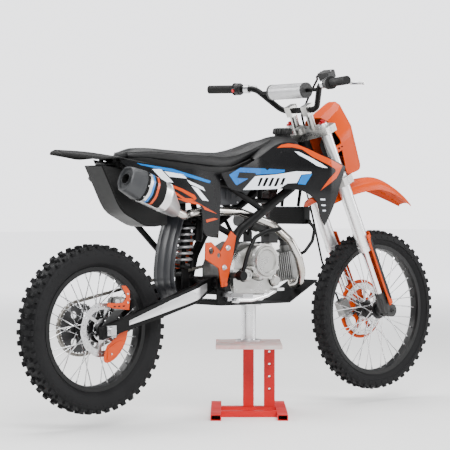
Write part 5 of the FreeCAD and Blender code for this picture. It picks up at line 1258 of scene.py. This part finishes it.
GUARD_SPINE = [(-984, -152), (-946, -222), (-901, -300), (-846, -334), (-776, -362), (-696, -356)]
GUARD_HALF, GUARD_WALL = 48.5, 4
FLAP_LINE = [(-154.3, -58), (-190, 14), (-178, 134), (-140, 250)]
FLAP_WIDTHS = (-56, -52, -40, -36, -32, -8, -4, 4, 8, 32, 36, 40, 52, 56)
FLAP_RAISED = (0, 0, 0, 1.2, 0, 0, 1.2, 1.2, 0, 0, 1.2, 0, 0, 0)


def inner_guard():
    """The black guard hung under the rails: a bent sheet between two flat walls."""
    spine = smooth_line(GUARD_SPINE, 3)
    across = (-GUARD_HALF, 0, GUARD_HALF)
    shape = Shape()
    shape.loft([[head(x, y, z) for y in across] + [head(x + 3, y, z + 4) for y in across[::-1]]
                for x, z in spine])
    rim = [(x + 2, z + 3) for x, z in spine] + [(-700, -196), (-917.4, -157.1)]
    for side in (-1, 1):
        shape.prism([head(x, GUARD_HALF * side, z) for x, z in rim], Vector((0, side * GUARD_WALL / 1000, 0)))
    shape.make("inner_guard", "root", [plastic_black], ["rear_fender"], smooth=30, bevel=0.0012)


def flap():
    """The grey flap between the shock and the tyre, ribbed down its middle and along its sides."""
    rows = []
    for x, z in smooth_line(FLAP_LINE, 6):
        back = [pivot(x - raised, y, z) for y, raised in zip(FLAP_WIDTHS, FLAP_RAISED)]
        rows.append(back + [pivot(x + 4, y, z) for y in FLAP_WIDTHS[::-1]])
    shape = Shape()
    shape.loft(rows)
    shape.make("mud_guard_flap", "root", [plastic_grey], ["mud_flap"], smooth=30)


inner_guard()
flap()


MASK_RINGS = [(96, 98, -236, 6), (130, 96, -241, 13), (170, 90, -246, 20), (194, 74, -238, 25),
              (208, 58, -226, 26)]
LAMP_Z, LAMP_HOLE_HALF, LAMP_HOLE_TALL = -130, 48, 54


def mask_ring(x, half, low, high, shrink=0.0, steps=6):
    """One ring of the mask in steering axes, pointed above and narrower below."""
    half, low, high = half - shrink, low + shrink, high - shrink
    waist = low + 0.62 * (high - low)
    corners = [(-0.72, low), (0.72, low), (1, waist), (0.62, high - 14), (0.3, high), (-0.3, high),
               (-0.62, high - 14), (-1, waist)]
    return [steer(x, half * (a + (b - a) * step / steps), from_z + (to_z - from_z) * step / steps)
            for (a, from_z), (b, to_z) in zip(corners, corners[1:] + corners[:1]) for step in range(steps)]


def mask_pieces(wall=4):
    """The mask's shell with its lamp hole, and the clips and screws that hold it to the fork."""
    shape = Shape()
    outer = [mask_ring(*values) for values in smooth_line(MASK_RINGS, 3)]
    inner = [mask_ring(*values, shrink=wall) for values in smooth_line(MASK_RINGS, 3)]
    inner[-1] = [point - steer_way(wall, 0, 0) for point in inner[-1]]
    shape.net(outer)
    shape.net(inner)
    shape.net([inner[0], outer[0]])
    edges = []
    for ring in (outer[-1], inner[-1]):
        edge = []
        for point in ring:
            flat = unsteer(point)
            turn = math.atan2(flat.z - LAMP_Z, flat.y)
            edge.append(steer(flat.x, LAMP_HOLE_HALF * math.cos(turn),
                              LAMP_Z + LAMP_HOLE_TALL * math.sin(turn)))
        shape.net([ring, [(a + b) / 2 for a, b in zip(ring, edge)], edge])
        edges.append(edge)
    shape.net(edges[::-1])
    for side in (-1, 1):
        shape.block(steer(84.5, 89 * side, -115), steer_way(19, 0, 0), Vector((0, 0.006, 0)),
                    steer_way(0, 0, 12))
        for x, size in ((78, 0.0052), (95, 0.0042)):
            shape.bolt(steer(x, 95 * side, -115), (0, side, 0), size, 1)
    shape.make("mask_shell", "steering", [gloss_orange, shade_ring_and_screw_black], ["headlight_mask"], smooth=38,
               bevel=0.0012)


mask_pieces()


# Airbox
# Moulded box under the seat between the rails, in the same dark grey plastic as the mud flap, ribbed on its
# sides and held by four screws on each.

AIRBOX = [(-462, -196), (-330, -190), (-262, -206), (-300, -246), (-352, -284), (-452, -288)]
AIRBOX_HALF = 42


def airbox():
    """The closed box with five ribs and four screws on each side."""
    shape = Shape()
    shape.prism([head(x, -AIRBOX_HALF, z) for x, z in AIRBOX], Vector((0, 2 * AIRBOX_HALF / 1000, 0)))
    for side in (-1, 1):
        for index in range(5):
            x, low = -436 + 26 * index, -268 + 3 * index
            rib = [(x, -206), (x + 7, -206), (x + 7, low), (x, low)]
            shape.prism([head(px, side * AIRBOX_HALF, pz) for px, pz in rib][::-side],
                        Vector((0, side * 0.003, 0)))
        for x, z in ((-452, -204), (-306, -200), (-446, -280), (-352, -276)):
            shape.bolt(head(x, side * AIRBOX_HALF, z), (0, side, 0), 0.0045, 1)
    shape.make("airbox", "root", [plastic_grey, bolt_steel], smooth=30, bevel=0.004)


airbox()


# Lamp glass
# A clear domed lens over a bright bowl, clipped into the mask's opening.

lamp_clear = finish("lamp_clear", (0.62, 0.65, 0.68), (0.50, 0.54, 0.58), (50, 0.5), (0.05, 0.05),
                    (120, 0.05), metal=0.6, coat=1.0)
GLASS_HALF, GLASS_TALL, GLASS_BACK = 40, 46, 212
GLASS_DOME = ((1, 0.2), (1, 1.5), (0.9, 3.2), (0.7, 4.8), (0.4, 6.0), (0.1, 6.4))
glass = Shape()
glass.loft([[steer(GLASS_BACK + ahead, GLASS_HALF * size * math.cos(a),
                   LAMP_Z + GLASS_TALL * size * math.sin(a)) for a in turns(40)]
            for size, ahead in GLASS_DOME])
glass.make("lamp_glass", "steering", [lamp_clear], smooth=60)


# Seat
# Foam on a black pan under a stretched vinyl cover, with a welded bead where the top meets the sides.
# The cover is blown up as cloth, then held close to the foam it started from.

seat_black = finish("seat_black", (0.003, 0.003, 0.0033), (0.006, 0.006, 0.0065), (12, 0.5), (0.40, 0.12),
                    (900, 0.5), gloss=0.3)
SEAT = [(-868, 30, -106, 8), (-860, 46, -107, 13), (-780, 70, -108, 19), (-700, 84, -114, 21),
        (-620, 88, -121, 24), (-540, 88, -127, 28), (-467, 84, -133, 33), (-407, 78, -130, 32),
        (-343, 69, -112, 25), (-281, 60, -87, 18), (-233, 52, -67, 15), (-190, 43, -50, 13),
        (-166, 34, -44, 9)]
SEAT_PAN = [(-860, 40, -114, 36, -136), (-780, 66, -122, 64, -160), (-640, 82, -136, 84, -174),
            (-520, 84, -148, 86, -188), (-400, 74, -146, 78, -192), (-320, 62, -122, 66, -184),
            (-270, 54, -104, 56, -166)]
PUFF_PRESSURE, PUFF_CAP, PUFF_VOXEL, PUFF_FRAMES = 4.0, 0.005, 0.006, 20


def seat_section(x, half, z, tall):
    """Crowned on top, full at the sides and nearly flat below."""
    points = []
    for a in turns(32):
        c, s = math.cos(a), math.sin(a)
        up = abs(s) ** 0.85 if s > 0 else -abs(s) ** 0.5
        points.append(head(x, half * math.copysign(abs(c) ** 0.62, c), z + tall * up))
    return points


def puffed(piece):
    """Blow a closed pad up as cloth, with each point held within a cap of where it began."""
    even = piece.modifiers.new("even", "REMESH")
    even.mode = "VOXEL"
    even.voxel_size = PUFF_VOXEL
    settled(piece)
    cloth = piece.modifiers.new("cloth", "CLOTH")
    cloth.settings.use_pressure = True
    cloth.settings.uniform_pressure_force = PUFF_PRESSURE
    cloth.settings.effector_weights.gravity = 0
    for number in range(1, PUFF_FRAMES + 1):
        bpy.context.scene.frame_set(number)
    ready = piece.evaluated_get(bpy.context.evaluated_depsgraph_get())
    blown = [vertex.co.copy() for vertex in ready.data.vertices]
    bpy.context.scene.frame_set(1)
    piece.modifiers.clear()
    for vertex, after in zip(piece.data.vertices, blown):
        move = after - vertex.co
        if move.length > PUFF_CAP:
            move *= PUFF_CAP / move.length
        vertex.co += move


def seat_pieces():
    """The puffed cover on its foam, the two beads sewn along it, and the pan that it is stretched over."""
    stations = smooth_line(SEAT, 5)
    foam = Shape()
    foam.loft([seat_section(*station) for station in stations])
    cover = foam.make("seat_cover", "root", [seat_black], ["seat"], smooth=0)
    puffed(cover)
    finer = cover.modifiers.new("finer", "SUBSURF")
    finer.levels = finer.render_levels = 1
    settled(cover)
    cover.data.materials.clear()
    cover.data.materials.append(seat_black)
    cover.data.shade_smooth()
    skin = BVHTree.FromPolygons([vertex.co for vertex in cover.data.vertices],
                                [tuple(face.vertices) for face in cover.data.polygons])
    beads = Shape()
    for side in (-1, 1):
        line = []
        for x, half, z, tall in stations[2:-3]:
            place, outward, _, _ = skin.find_nearest(head(x, side * half * 0.93, z + tall * 0.80))
            line.append(place + outward * 0.0004)
        beads.tube(line, 0.0017, 8)
    beads.make("seat_beads", "root", [seat_black], smooth=60)
    pan = Shape()
    rows = []
    for x, top_half, top, low_half, low in SEAT_PAN:
        belly = (low_half + 1, (top + low) / 2)
        rim = [(low_half, low), belly, (top_half, top)]
        rows.append([head(x, -low_half, low)] + [head(x, y, z) for y, z in rim]
                    + [head(x, -y, z) for y, z in rim[:0:-1]])
    pan.loft(rows)
    pan.make("seat_pan", "root", [plastic_black], smooth=30, bevel=0.003)


seat_pieces()


# Tank, cap, lamp body and guards
# Blow-moulded black tank with a ribbed cap screwed onto its neck, and orange moulded covers on the fork and
# the front disc.

TANK = [(-300, 84, -150, -108), (-250, 96, -165, -76), (-200, 104, -178, -54), (-150, 104, -176, -33),
        (-110, 98, -168, -25), (-74, 80, -146, -28), (-57, 66, -132, -44)]


CAP_X, CAP_RIBS, CAP_STEPS, CAP_GRIP = -86, 16, 96, 1.4
CAP_PROFILE = [(29, -30), (30, -20), (35.5, -19), (36.5, -12), (34.5, 0), (31, 3), (24, 4), (22, 1.5),
               (8, 1.5), (6, 3.5), (0.5, 3.5)]
CAP_RIBBED = range(2, 5)


def tank_section(x, half, low, high):
    """One cross-section of the tank, its corners eased."""
    middle, tall = (low + high) / 2, (high - low) / 2
    return [head(x, half * math.copysign(abs(math.cos(a)) ** 0.8, math.cos(a)),
                 middle + tall * math.copysign(abs(math.sin(a)) ** 0.8, math.sin(a))) for a in turns(40)]


def tank_pieces():
    """The tank's shell, and its cap with grip ribs on a short neck."""
    shape = Shape()
    shape.loft([tank_section(*values) for values in smooth_line(TANK, 4)])
    shape.make("tank_shell", "root", [plastic_black], ["fuel_tank"], smooth=60)
    cap = Shape()
    levels = []
    for index, (radius, z) in enumerate(CAP_PROFILE):
        grip = CAP_GRIP if index in CAP_RIBBED else 0
        levels.append([head(CAP_X + (radius + grip * math.cos(a * CAP_RIBS)) * math.cos(a),
                            (radius + grip * math.cos(a * CAP_RIBS)) * math.sin(a), z)
                       for a in turns(CAP_STEPS)])
    cap.loft(levels)
    cap.make("filler_cap", "root", [plastic_black], ["tank_cap"], smooth=40)


tank_pieces()
dress(plastic_black, "headlamp")
dress(gloss_orange, "fork_guards", "front_guard")
